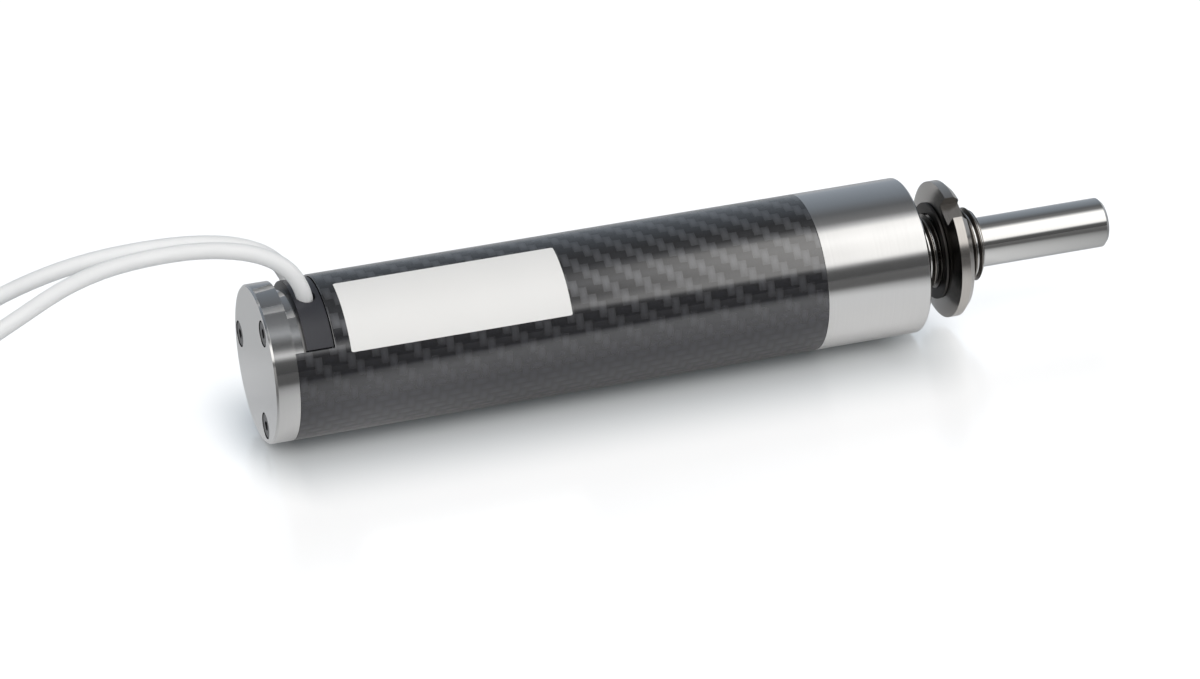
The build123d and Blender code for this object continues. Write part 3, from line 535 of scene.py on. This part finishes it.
class ACTUATOR_OT_stage(bpy.types.Operator):
    """Set up the pale floor, the studio light and the camera"""
    bl_idname = "actuator.stage"
    bl_label = "Stage"

    def execute(self, context):
        studio = context.scene.actuator_studio
        context.scene.view_settings.view_transform = "Standard"
        self.floor(studio)
        self.world(context.scene, studio)
        self.lamp(studio)
        self.camera(context.scene, studio)
        return {"FINISHED"}

    def floor(self, studio):
        """A pale floor: one surface for the camera's rays, another one for the light and the reflections."""
        finish, g, shader, where = new_finish("stage_floor")
        parts = g.split(where["Object"])
        rays = g.add("ShaderNodeLightPath").outputs
        self.mirrored_floor(g, shader, where, parts, rays["Is Glossy Ray"])
        seen = self.seen_floor(g, parts, studio.floor_lift)
        g.plug(finish.node_tree.nodes["Material Output"].inputs[0],
               g.blend(rays["Is Camera Ray"], shader.outputs[0], seen))
        bm = bmesh.new()
        bmesh.ops.create_grid(bm, x_segments=1, y_segments=1, size=3.0)
        put(bm, "pale_floor", finish)

    def mirrored_floor(self, g, shader, where, parts, mirrored):
        """The floor that the metal mirrors: it dims a few centimetres away and glows under the rear end."""
        distance = g.far(parts["X"], g.times(parts["Y"], 1.25))
        dim = g.times(g.between(distance, 0.056, 0.096, 0.0, 0.93),
                      g.between(parts["Y"], 0.03, -0.02, 0.5, 1.0))
        patches = g.noise(vector=where["Object"], scale=3.0, detail=1.0)
        pale = g.mix(patches, (0.88, 0.885, 0.89), (0.89, 0.895, 0.9))
        glow = g.between(parts["X"], -0.03, -0.07, 0.12, 0.4)
        g.feed(shader, base_color=g.mix(g.times(mirrored, dim), pale, BLACK), roughness=0.4,
               emission_color=(*WHITE, 1.0),
               emission_strength=g.times(g.times(mirrored, g.minus(1.0, dim)), glow))

    def seen_floor(self, g, parts, lift):
        """The floor that the camera sees: white, with a cool shade and a blurred mirror image.

        The shade lies along the body and ends soon past the nose and the cap.
        """
        past_nose = g.times(g.minus(parts["X"], 0.029), 2.0)
        past_cap = g.times(g.plus(parts["X"], 0.0675), -3.0)
        beyond = g.math("MAXIMUM", 0.0, g.math("MAXIMUM", past_nose, past_cap))
        clear = g.between(g.far(beyond, parts["Y"]), -0.005, 0.036, way="SMOOTHSTEP")
        matt = g.feed(g.add("ShaderNodeBsdfDiffuse"), color=(0.445, 0.445, 0.445, 1.0))
        light = g.feed(g.add("ShaderNodeEmission"), color=g.mix(clear, (0.88, 0.96, 1.0), WHITE),
                       strength=g.times(clear, lift))
        gloss = g.feed(g.add("ShaderNodeBsdfGlossy"), color=(0.96, 0.98, 1.0, 1.0), roughness=0.2)
        body = g.add("ShaderNodeAddShader")
        g.plug(body.inputs[0], matt.outputs[0])
        g.plug(body.inputs[1], light.outputs[0])
        return g.blend(0.45, body.outputs[0], gloss.outputs[0])

    def world(self, scene, studio):
        """Softboxes in a dark room, which differ along the body, and plain white for the camera."""
        scene.world = world = bpy.data.worlds.new("studio")
        world.use_nodes = True
        g = Graph(world.node_tree)
        light = world.node_tree.nodes["Background"]
        parts = g.split(g.add("ShaderNodeTexCoord").outputs["Generated"])
        turn = g.math("ARCTAN2", parts["Z"], g.times(parts["Y"], -1.0))
        place = g.plus(g.math("DIVIDE", turn, math.tau), 0.5)
        middle = g.times(g.between(parts["X"], -0.1, 0.0),
                         g.between(parts["X"], 0.315, 0.245, way="SMOOTHSTEP"))
        tint = g.mix(middle, self.ramp(g, place, MIDDLE_LIGHT), self.ramp(g, place, END_LIGHT))
        camera_ray = g.add("ShaderNodeLightPath").outputs["Is Camera Ray"]
        g.plug(light.inputs["Color"], g.mix(camera_ray, g.scaled(tint, studio.softbox), WHITE))
        light.inputs["Strength"].default_value = 1.0

    def ramp(self, g, place, stops):
        """A colour ramp round the X axis."""
        ramp = g.add("ShaderNodeValToRGB")
        g.plug(ramp.inputs[0], place)
        marks = ramp.color_ramp.elements
        while len(marks) < len(stops):
            marks.new(0.5)
        for mark, (degrees, _, _) in zip(marks, stops):
            mark.position = degrees / 360 + 0.5
        for mark, (_, strength, tint) in zip(marks, stops):
            mark.color = (*(strength * part for part in tint), 1.0)
        return ramp.outputs[0]

    def lamp(self, studio):
        """A soft key lamp that no metal mirrors, pointed at the origin."""
        lamp = bpy.data.lights.new("key", "AREA")
        lamp.shape = "RECTANGLE"
        lamp.size, lamp.size_y = 0.9, 0.5
        lamp.energy = studio.key_watts
        key = new_object("key", lamp)
        key.location = KEY_PLACE
        key.rotation_euler = (-KEY_PLACE).to_track_quat("-Z", "Y").to_euler()
        key.visible_glossy = False

    def camera(self, scene, studio):
        camera = bpy.data.cameras.new("camera")
        camera.sensor_fit = "HORIZONTAL"
        camera.sensor_width = 36.0
        camera.lens = studio.lens
        camera.clip_end = 20.0
        view = new_object("camera", camera)
        turn = Matrix((CAMERA_RIGHT, CAMERA_UP, CAMERA_RIGHT.cross(CAMERA_UP))).transposed().to_4x4()
        view.matrix_world = Matrix.Translation(CAMERA_PLACE) @ turn
        scene.camera = view


# The housing

class ACTUATOR_OT_front_body(bpy.types.Operator):
    """Turn the steel front body and wind the thread of its nose"""
    bl_idname = "actuator.front_body"
    bl_label = "Front body"

    def execute(self, context):
        size = context.scene.actuator_sizes
        tint = context.scene.actuator_colours
        steel = turned_metal("turned_steel", tint.steel, rough=(0.1, 0.17), shade=0.06, depth=0.0015)
        root = size.nose_r - size.thread_deep
        groove_r, groove_end = root - 0.15 * MM, SHOULDER + 1.2 * MM
        tip, tip_chamfer, chamfer = HEAD_HIGH.x, 0.25 * MM, 0.3 * MM
        bore, bore_end = 6.65 * MM, SHOULDER - 6.8 * MM
        profile = [
            (HEAD_LOW.x, bore), (HEAD_LOW.x, size.spigot_r), (TUBE_HIGH.x, size.spigot_r),
            (TUBE_HIGH.x, BODY_R), (SHOULDER - chamfer, BODY_R), (SHOULDER, BODY_R - chamfer),
            (SHOULDER, groove_r), (groove_end, groove_r), (SHOULDER + 1.4 * MM, root),
            (tip - tip_chamfer, root), (tip, root - tip_chamfer), (tip, size.nose_bore_r),
            (bore_end, size.nose_bore_r), (bore_end, bore),
        ]
        head = put(lathe(profile, 160), "steel_head", steel)
        attach(break_edges(head, size.edge / 2), "steel", "housing", "front_body")

        # Painted shade: the thread's flanks get a tint darker than the head's steel, for the shade between
        # the head and the nut.
        shaded_thread_steel = turned_metal("thread_steel_dull", tint.thread, rough=(0.2, 0.32))
        thread = put(self.thread(size, root, groove_end, tip), "nose_thread", shaded_thread_steel, limit=25)
        attach(thread, "steel", "housing")
        return {"FINISHED"}

    def thread(self, size, root, groove_end, tip):
        """One ridge wound along the nose, sunk into its core and bevelled off at both ends."""
        start = SHOULDER + 0.9 * MM
        turns = math.ceil((tip + size.thread_pitch / 2 - start) / size.thread_pitch)
        half_root, half_crest = 0.43 * size.thread_pitch, 0.07 * size.thread_pitch
        sunk, hidden = root - 0.05 * MM, root - 0.06 * MM
        steps = 72 * turns
        bm = bmesh.new()
        shape = wire(bm, [
            (start - half_root, 0, AXIS_Z + sunk), (start - half_crest, 0, AXIS_Z + size.nose_r),
            (start + half_crest, 0, AXIS_Z + size.nose_r), (start + half_root, 0, AXIS_Z + sunk),
        ])
        made = spin(bm, shape, math.tau * turns, steps, dvec=(turns * size.thread_pitch / steps, 0, 0))
        for end in (shape, made["geom_last"]):
            bmesh.ops.contextual_create(bm, geom=[v for v in end if isinstance(v, bmesh.types.BMVert)])
        for vert in bm.verts:
            y, z = vert.co.y, vert.co.z - AXIS_Z
            radius = math.hypot(y, z)
            tip_limit = root + 0.02 * MM + (tip - 0.02 * MM - vert.co.x)
            start_limit = hidden + (vert.co.x - groove_end)
            allowed = max(hidden, min(radius, tip_limit, start_limit))
            if allowed < radius:
                vert.co.y = y * allowed / radius
                vert.co.z = AXIS_Z + z * allowed / radius
            vert.co.x = min(vert.co.x, tip - 0.03 * MM)
        return closed_up(bm)


class ACTUATOR_OT_push_rod(bpy.types.Operator):
    """Turn the polished rod with its bevelled tip and threaded hole"""
    bl_idname = "actuator.push_rod"
    bl_label = "Push rod"

    def execute(self, context):
        size = context.scene.actuator_sizes
        polished = turned_metal("polished_rod_steel", context.scene.actuator_colours.rod, rough=(0.07, 0.13),
                                shade=0.03, depth=0.0008, coarse=5000.0, fine=16000.0)
        hole, hole_chamfer, hole_deep, drill_point = 1.65 * MM, 0.45 * MM, 8 * MM, 8.9 * MM
        tip, bevel = ROD_HIGH.x, size.rod_bevel
        profile = [
            (ROD_LOW.x, 0.0), (ROD_LOW.x, size.rod_r), (tip - bevel, size.rod_r), (tip, size.rod_r - bevel),
            (tip, hole + hole_chamfer), (tip - hole_chamfer, hole), (tip - hole_deep, hole),
            (tip - drill_point, 0.0),
        ]
        rod = put(lathe(profile, closed=False), "polished_rod", polished)
        attach(break_edges(rod, 0.06 * MM), "rod_steel", "rod", "push_rod")
        return {"FINISHED"}


class ACTUATOR_OT_carbon_tube(bpy.types.Operator):
    """Spin the woven tube, open its cable window and lay the weave round it"""
    bl_idname = "actuator.carbon_tube"
    bl_label = "Carbon tube"

    def execute(self, context):
        size = context.scene.actuator_sizes
        tint = context.scene.actuator_colours
        carbon = woven_carbon("clear_coated_carbon", tint.tow_sheen_bright, tint.tow_dark, size.tow)
        inner = BODY_R - size.tube_wall
        window_front = TUBE_LOW.x + size.window_long
        bm = bmesh.new()
        shape = wire(bm, [
            (x, 0, AXIS_Z + r) for x, r in (
                (TUBE_LOW.x, inner), (TUBE_LOW.x, BODY_R), (window_front, BODY_R), (TUBE_HIGH.x, BODY_R),
                (TUBE_HIGH.x, inner), (window_front, inner))])
        tilt(bm, size.window_half)
        spin(bm, shape, math.tau, 180, use_merge=True)
        closed_up(bm)
        gone = []
        for face in bm.faces:
            middle = face.calc_center_median()
            lean = math.atan2(abs(middle.y), middle.z - AXIS_Z)
            if middle.x < window_front and lean < size.window_half:
                gone.append(face)
        bmesh.ops.delete(bm, geom=gone, context="FACES")
        rim = [e for e in bm.edges
               if e.is_boundary and all(abs(v.co.x - window_front) < 1e-6 for v in e.verts)]
        bmesh.ops.bridge_loops(bm, edges=rim)
        bmesh.ops.holes_fill(bm, edges=[e for e in bm.edges if e.is_boundary], sides=4)
        closed_up(bm)
        self.unroll(bm)
        tube = put(bm, "woven_tube", carbon)
        attach(break_edges(tube, size.edge), "carbon_fibre", "housing", "carbon_tube")
        return {"FINISHED"}

    def unroll(self, bm):
        """Lay the weave's coordinates along the tube and round it, in metres."""
        layer = bm.loops.layers.uv.new("weave")
        for face in bm.faces:
            middle = face.calc_center_median()
            centre = math.atan2(-middle.y, middle.z - AXIS_Z)
            for loop in face.loops:
                spot = loop.vert.co
                turned = math.atan2(-spot.y, spot.z - AXIS_Z)
                turned += math.tau * round((centre - turned) / math.tau)
                loop[layer].uv = (spot.x, turned * BODY_R)


class ACTUATOR_OT_label(bpy.types.Operator):
    """Bend the bare white label onto the tube"""
    bl_idname = "actuator.label"
    bl_label = "Bare label"

    def execute(self, context):
        size = context.scene.actuator_sizes
        finish, g, shader, where = new_finish("bare_label_film")
        grain = place_group(g, "Fine grain", build_grain, vector=where["Object"], scale=2500.0)
        tint = tuple(context.scene.actuator_colours.label)
        g.feed(shader, base_color=g.mix(grain["Patches"], tuple(c * 0.97 for c in tint), tint),
               roughness=g.spread(grain["Patches"], 0.32, 0.42), normal=g.relief(0.2, 0.004, grain["Grain"]))

        radius, corner_r = BODY_R + 0.01 * MM, 0.35 * MM
        rear = TUBE_LOW.x + size.label_start
        bm = bmesh.new()
        shape = wire(bm, [(rear, 0, AXIS_Z + radius), (rear + size.label_long, 0, AXIS_Z + radius)], False)
        tilt(bm, math.pi / 2 - size.label_low)
        spin(bm, shape, size.label_low - size.label_high, 40)
        corners = [v for v in bm.verts if len(v.link_edges) == 2]
        bmesh.ops.bevel(bm, geom=corners, offset=corner_r, offset_type="OFFSET", segments=4, profile=0.5,
                        affect="VERTICES", material=-1)
        bmesh.ops.recalc_face_normals(bm, faces=bm.faces)
        for face in bm.faces:
            middle = face.calc_center_median()
            if face.normal.dot(Vector((0, middle.y, middle.z - AXIS_Z))) < 0:
                face.normal_flip()
        bmesh.ops.solidify(bm, geom=bm.faces[:], thickness=-size.label_thick)
        bmesh.ops.recalc_face_normals(bm, faces=bm.faces)
        attach(put(bm, "bare_label", finish), None, "housing")
        return {"FINISHED"}


class ACTUATOR_OT_rear_cap(bpy.types.Operator):
    """Turn the rear cap, sink its three counterbores and fit the socket screws"""
    bl_idname = "actuator.rear_cap"
    bl_label = "Rear cap and screws"

    def execute(self, context):
        size = context.scene.actuator_sizes
        tint = context.scene.actuator_colours
        faced = turned_metal("faced_steel", [c * 0.93 for c in tint.steel], rough=(0.09, 0.15), shade=0.05,
                             depth=0.0015)
        dark = turned_metal("screw_steel_dark", tint.screws, rough=(0.3, 0.45), shade=0.1)
        chamfer, sunk, counterbore_r, hole_r = 0.3 * MM, 2.1 * MM, 2.1 * MM, 1.1 * MM
        cap = put(lathe([
            (CAP_LOW.x, 0.0), (CAP_LOW.x, BODY_R - chamfer), (CAP_LOW.x + chamfer, BODY_R),
            (TUBE_LOW.x, BODY_R), (TUBE_LOW.x, size.spigot_r), (CAP_HIGH.x, size.spigot_r),
            (CAP_HIGH.x, 0.0),
        ], 160, closed=False), "end_cap", faced)
        seat = CAP_LOW.x + sunk
        spots = self.spots(9.6 * MM, (78, -42, -162))
        cut(cap, [rod_of(CAP_LOW.x - MM, seat, counterbore_r, spot, 40) for spot in spots])
        cut(cap, [rod_of(seat - 0.5 * MM, CAP_HIGH.x + MM, hole_r, spot, 24) for spot in spots])
        attach(break_edges(cap, 0.09 * MM), "steel", "housing", "rear_cap")

        head_r, shank_r, shank_end, tiny = 1.9 * MM, 1.0 * MM, seat + 11.5 * MM, 0.02 * MM
        face = seat - 2.0 * MM
        profile = [(face, tiny), (face, head_r), (seat, head_r), (seat, shank_r), (shank_end, shank_r),
                   (shank_end, tiny)]
        screws = put(together([lathe(profile, 40, spot) for spot in spots]), "socket_screws", dark)
        key_r = 0.75 * MM / math.cos(math.pi / 6)
        cut(screws, [rod_of(face - MM, face + 1.0 * MM, key_r, spot, 6) for spot in spots])
        attach(break_edges(screws, 0.08 * MM), "screw_steel", "housing", "cap_screws")
        return {"FINISHED"}

    def spots(self, circle_r, angles):
        """Where the screws are, as (y, z): their angles are counted from straight up towards +Y."""
        return [(circle_r * math.sin(math.radians(a)), AXIS_Z + circle_r * math.cos(math.radians(a)))
                for a in angles]


class ACTUATOR_OT_cable_block(bpy.types.Operator):
    """Mould the block that holds the cables in the window"""
    bl_idname = "actuator.cable_block"
    bl_label = "Cable block"

    def execute(self, context):
        dark = moulded("dark_moulding", context.scene.actuator_colours.block, rough=(0.3, 0.42),
                       scale=5000.0, depth=0.006)
        dress("cable_block", "outlet_block", dark, 0.1 * MM, "black_plastic")
        return {"FINISHED"}


# Nut and washer

class ACTUATOR_OT_ring_nut(bpy.types.Operator):
    """Turn the slotted ring nut and its washer"""
    bl_idname = "actuator.ring_nut"
    bl_label = "Ring nut and washer"

    def execute(self, context):
        size = context.scene.actuator_sizes
        tint = context.scene.actuator_colours
        bright = turned_metal("nut_steel_bright", tint.nut, rough=(0.15, 0.26), shade=0.14, depth=0.003,
                              coarse=2500.0, fine=8000.0)
        dark = turned_metal("washer_steel_dark", tint.washer, rough=(0.35, 0.5), shade=0.1)
        bore = size.nose_r + 0.05 * MM
        outer = (NUT_HIGH.z - NUT_LOW.z) / 2
        seat = (WASHER_HIGH.z - WASHER_LOW.z) / 2
        front, rear, chamfer, bore_chamfer = NUT_HIGH.x, NUT_LOW.x, 1.0 * MM, 0.4 * MM
        nut = put(lathe([
            (rear, bore + 0.3 * MM), (rear, seat), (rear + 0.85 * MM, outer), (front - chamfer, outer),
            (front, outer - chamfer), (front, bore + bore_chamfer), (front - bore_chamfer, bore),
            (rear + 0.3 * MM, bore)], 144), "slotted_nut", bright)
        half_wide, deep, lean = 2 * MM, 2 * MM, 35
        slots = []
        for turned in (lean, lean + 180):
            slot = block_of((rear - MM, -half_wide, outer - deep), (front + MM, half_wide, outer + deep))
            turn = Matrix.Rotation(math.radians(turned), 4, "X")
            bmesh.ops.transform(slot, verts=slot.verts, matrix=Matrix.Translation((0, 0, AXIS_Z)) @ turn)
            slots.append(slot)
        cut(nut, slots)
        attach(break_edges(nut, size.edge), "nut_steel", "nut", "ring_nut")

        front, rear = WASHER_HIGH.x, WASHER_LOW.x
        washer = put(lathe([
            (rear, bore), (rear, seat), (front, seat), (front, bore)], 144), "plain_washer", dark)
        attach(break_edges(washer, size.edge), "nut_steel", "washer", "lock_washer")
        return {"FINISHED"}


# Cables and plugs: routes in millimetres, as seen from the near cable, which lies on the -Y side

NEAR_ROUTE = (
    (-62.7, 3.709, 21.68), (-63.0, 5.0, 25.1), (-65.8, 5.4, 29.8), (-71.7, 5.3, 33.0), (-82.2, 5.4, 34.7),
    (-97.2, 6.6, 33.9), (-111.0, 10.0, 28.5), (-124.0, 7.4, 21.0), (-138.0, 4.5, 17.3),
)
FAR_ROUTE = (
    (-62.7, 3.709, 21.68), (-63.1, 5.0, 25.0), (-66.3, 5.4, 28.6), (-72.3, 5.4, 31.1), (-82.2, 5.6, 32.2),
    (-96.2, 6.8, 31.2), (-109.5, 9.8, 26.4), (-123.0, 7.4, 20.6), (-138.0, 4.5, 17.3),
)
NEAR_LEAD = ((-154.0, 1.9, 6.9), (-160.0, 1.9, 6.9), (-169.0, 0.0, 7.0), (-175.0, 0.0, 7.0))
FAR_LEAD = ((-154.0, 1.9, 17.3), (-160.0, 1.9, 17.3), (-169.0, 0.0, 21.1), (-175.0, 0.0, 21.1))


class ACTUATOR_OT_cables(bpy.types.Operator):
    """Lay the two cables from the block to their hanks and plugs"""
    bl_idname = "actuator.cables"
    bl_label = "Cables"

    def execute(self, context):
        size = context.scene.actuator_sizes
        jacket = moulded("white_jacket", context.scene.actuator_colours.jacket, rough=(0.36, 0.48),
                         scale=3000.0, depth=0.012, shade=0.04)
        top = size.coil_layers - 1
        down = [(0, layer) for layer in range(top, -1, -1)]
        up = [(1, layer) for layer in range(top + 1)]
        zigzag = [(0, 6), (1, 6), (1, 5), (0, 5), (0, 4), (1, 4), (1, 3), (0, 3), (0, 2), (0, 1), (0, 0)]
        for name, side, route, places, lead in (
                ("near", -1, NEAR_ROUTE, zigzag + up[:3], NEAR_LEAD),
                ("far", 1, FAR_ROUTE, down + up, FAR_LEAD)):
            points = [*route, *self.hank(places), *lead]
            points = [Vector((x, side * y, z)) * MM for x, y, z in points]
            cord = self.spline(f"{name}_white_cable", points, size.cable_r, jacket)
            attach(cord, "cable_jacket", "housing", f"{name}_cable", f"{name}_coil", f"{name}_lead")
        return {"FINISHED"}

    def hank(self, places):
        """Points of the put-away loops, in millimetres, through places of (column, layer).

        It takes half a loop in the first place, whole loops, and half a loop in the last. A curve of this
        order runs inside its points, so these lie further out, by shrink.
        """
        middle_x, middle_y, half_leg, inner_bend, spacing, lowest = -146.0, 9.9, 16.0, 5.4, 2.6, 1.7
        shrink = (6 + 2 * math.cos(math.tau / 12)) / 8
        for index, (column, layer) in enumerate(places):
            bend = (inner_bend + spacing * column) / shrink
            height = lowest + spacing * layer
            ends = (-1,) if index == 0 else (1, -1)
            if index == len(places) - 1:
                ends = (1,)
            for end in ends:
                for step in range(6):
                    turned = math.radians(15 + 30 * step)
                    yield (middle_x + end * (half_leg + bend * math.sin(turned)),
                           middle_y + end * bend * math.cos(turned), height)

    def spline(self, name, points, radius, finish):
        """A round cord along a smooth curve."""
        curve = bpy.data.curves.new(name, "CURVE")
        curve.dimensions = "3D"
        curve.bevel_depth = radius
        curve.bevel_resolution = 4
        curve.resolution_u = 6
        curve.use_fill_caps = True
        line = curve.splines.new("NURBS")
        line.points.add(len(points) - 1)
        for spot, point in zip(line.points, points):
            spot.co = (*point, 1.0)
        line.order_u = 3
        line.use_endpoint_u = True
        curve.materials.append(finish)
        return new_object(name, curve)


class ACTUATOR_OT_coil_ties(bpy.types.Operator):
    """Wrap the ties round each hank"""
    bl_idname = "actuator.coil_ties"
    bl_label = "Coil ties"

    def execute(self, context):
        black = moulded("tie_plastic", context.scene.actuator_colours.rubber, scale=3000.0, depth=0.02)
        for name in ("near", "far"):
            dress(f"{name}_ties", f"{name}_coil_ties", black, 0.3 * MM, "tie", segments=3)
        return {"FINISHED"}


class ACTUATOR_OT_plugs(bpy.types.Operator):
    """Dress the cable plugs: boot, hood, shell, insert and pins"""
    bl_idname = "actuator.plugs"
    bl_label = "Plugs"

    def execute(self, context):
        tint = context.scene.actuator_colours
        rubber = moulded("boot_rubber_black", tint.rubber, rough=(0.5, 0.65), scale=3500.0, depth=0.02)
        hood = moulded("metallised_hood", tint.hood, rough=(0.3, 0.42), scale=3000.0, depth=0.02, shade=0.06,
                       metallic=0.8)
        plated = moulded("plated_sheet", (0.62, 0.61, 0.58), rough=(0.18, 0.3), scale=900.0, depth=0.004,
                         shade=0.05, metallic=1.0)
        insert = moulded("insert_black", (0.02, 0.02, 0.021), rough=(0.4, 0.5))
        gold = moulded("contact_gold", (0.83, 0.60, 0.25), rough=(0.15, 0.25), scale=2000.0, depth=0.002,
                       shade=0.05, metallic=1.0)
        for name in ("near", "far"):
            self.boot(name, rubber)
            for piece, kind, slot, finish, edge, segments in (
                    ("hood_halves", "plug_hood_upper", "hood_plastic", hood, 0.35, 3),
                    ("plated_shell", "plug_shell", "plated_steel", plated, 0.12, 2),
                    ("contact_insert", "plug_insert", "insert_plastic", insert, 0.1, 2),
                    ("gold_pins", "plug_pins", "pin_gold", gold, 0.2, 2)):
                dress(f"{name}_{kind}", f"{name}_{piece}", finish, edge * MM, slot, segments=segments)
        return {"FINISHED"}

    def boot(self, name, rubber):
        """A tapered boot with grip rings."""
        low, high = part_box(f"{name}_plug_boot")
        middle = ((low.y + high.y) / 2, (low.z + high.z) / 2)
        bore, wide, narrowing, groove = 1.2 * MM, 3.5 * MM, 1.3 * MM, 0.45 * MM
        first, spacing, rings = 2 * MM, 2.2 * MM, 6
        profile = [(low.x, bore), (low.x, wide)]
        for index in range(rings):
            start = low.x + first + index * spacing
            radius = wide - (start - low.x) / (high.x - low.x) * narrowing
            profile += [(start, radius), (start + 0.1 * MM, radius - groove),
                        (start + 0.8 * MM, radius - groove - 0.05 * MM),
                        (start + 0.9 * MM, radius - 0.08 * MM)]
        profile += [(high.x, 2.2 * MM), (high.x, bore)]
        boot = put(lathe(profile, 48, middle), f"{name}_rubber_boot", rubber)
        attach(break_edges(boot, 0.12 * MM), "boot_rubber", "housing", f"{name}_plug_boot")


class ACTUATOR_OT_jackscrews(bpy.types.Operator):
    """Fit the plugs' thumbscrews"""
    bl_idname = "actuator.jackscrews"
    bl_label = "Thumbscrews"

    def execute(self, context):
        nickel = moulded("thumbscrew_nickel", (0.55, 0.55, 0.54), rough=(0.2, 0.32), scale=2500.0,
                         depth=0.004, shade=0.05, metallic=1.0)
        for name in ("near", "far"):
            for place in ("left", "right"):
                node = f"{name}_jackscrew_{place}"
                dress(node, f"{name}_thumbscrew_{place}", nickel, 0.12 * MM, "jack_steel", body=node)
        return {"FINISHED"}


# Inner parts keep their CAD shape and get a finish: material slot, name, tint, range of roughness, scale and
# depth of the grain, shade and metal

INNER_FINISHES = (
    ("frame_aluminium", "milled_aluminium", (0.62, 0.63, 0.64), (0.28, 0.4), 1500.0, 0.006, 0.05, 1.0),
    ("ceramic", "ground_alumina", (0.82, 0.80, 0.74), (0.3, 0.42), 6000.0, 0.004, 0.04, 0.0),
    ("piezo_ceramic", "cofired_piezo", (0.36, 0.31, 0.24), (0.4, 0.55), 5000.0, 0.006, 0.1, 0.0),
    ("spring_steel", "hardened_steel", (0.42, 0.42, 0.43), (0.2, 0.32), 2500.0, 0.003, 0.06, 1.0),
    ("screw_steel", "black_screw_steel", (0.2, 0.2, 0.205), (0.3, 0.45), 2500.0, 0.004, 0.08, 1.0),
    ("sensor_plastic", "sensor_package", (0.02, 0.02, 0.024), (0.4, 0.5), 5000.0, 0.006, 0.12, 0.0),
    ("scale_glass", "reflective_scale", (0.5, 0.5, 0.52), (0.08, 0.15), 1500.0, 0.001, 0.03, 1.0),
)


class ACTUATOR_OT_inner_parts(bpy.types.Operator):
    """Give every remaining CAD part its own finish"""
    bl_idname = "actuator.inner_parts"
    bl_label = "Inner parts"

    def execute(self, context):
        finishes = {
            "bronze": turned_metal("sintered_bronze", (0.55, 0.36, 0.17), rough=(0.35, 0.5), shade=0.1),
            "seal_rubber": moulded("seal_black", context.scene.actuator_colours.rubber, rough=(0.5, 0.65)),
            "board": moulded("solder_mask", (0.012, 0.075, 0.035), rough=(0.25, 0.4), scale=2500.0,
                             shade=0.15, coat=0.4),
            "hood_plastic": bpy.data.materials["metallised_hood"],
        }
        for slot, name, tint, rough, scale, depth, shade, metallic in INNER_FINISHES:
            finishes[slot] = moulded(name, tint, rough, scale, depth, shade, metallic=metallic)
        for row in frame["record"]["subparts"]:
            finish = finishes.get(row["material_slot"])
            if finish is not None:
                frame["nodes"][row["node"]].data.materials[0] = finish
        return {"FINISHED"}


class ACTUATOR_PT_panel(bpy.types.Panel):
    """Lists the actuator's pieces and sizes"""
    bl_idname = "ACTUATOR_PT_panel"
    bl_label = "Piezo linear actuator"
    bl_space_type = "VIEW_3D"
    bl_region_type = "UI"
    bl_category = "Actuator"

    def draw(self, context):
        for step in STEPS:
            self.layout.operator(step.bl_idname)
        for settings in (context.scene.actuator_sizes, context.scene.actuator_colours,
                         context.scene.actuator_studio):
            box = self.layout.box()
            for name in settings.bl_rna.properties.keys():
                if name not in ("rna_type", "name"):
                    box.prop(settings, name)


STEPS = (
    ACTUATOR_OT_stage, ACTUATOR_OT_front_body, ACTUATOR_OT_push_rod, ACTUATOR_OT_carbon_tube,
    ACTUATOR_OT_label, ACTUATOR_OT_rear_cap, ACTUATOR_OT_cable_block, ACTUATOR_OT_ring_nut,
    ACTUATOR_OT_cables, ACTUATOR_OT_coil_ties, ACTUATOR_OT_plugs, ACTUATOR_OT_jackscrews,
    ACTUATOR_OT_inner_parts,
)
CLASSES = (ActuatorSizes, ActuatorColours, StudioSettings, *STEPS, ACTUATOR_PT_panel)


def register():
    for kind in CLASSES:
        bpy.utils.register_class(kind)
    bpy.types.Scene.actuator_sizes = PointerProperty(type=ActuatorSizes)
    bpy.types.Scene.actuator_colours = PointerProperty(type=ActuatorColours)
    bpy.types.Scene.actuator_studio = PointerProperty(type=StudioSettings)


def unregister():
    del bpy.types.Scene.actuator_sizes
    del bpy.types.Scene.actuator_colours
    del bpy.types.Scene.actuator_studio
    for kind in reversed(CLASSES):
        bpy.utils.unregister_class(kind)


def main():
    register()
    for step in STEPS:
        family, name = step.bl_idname.split(".")
        getattr(getattr(bpy.ops, family), name)()


if __name__ == "__main__":
    main()
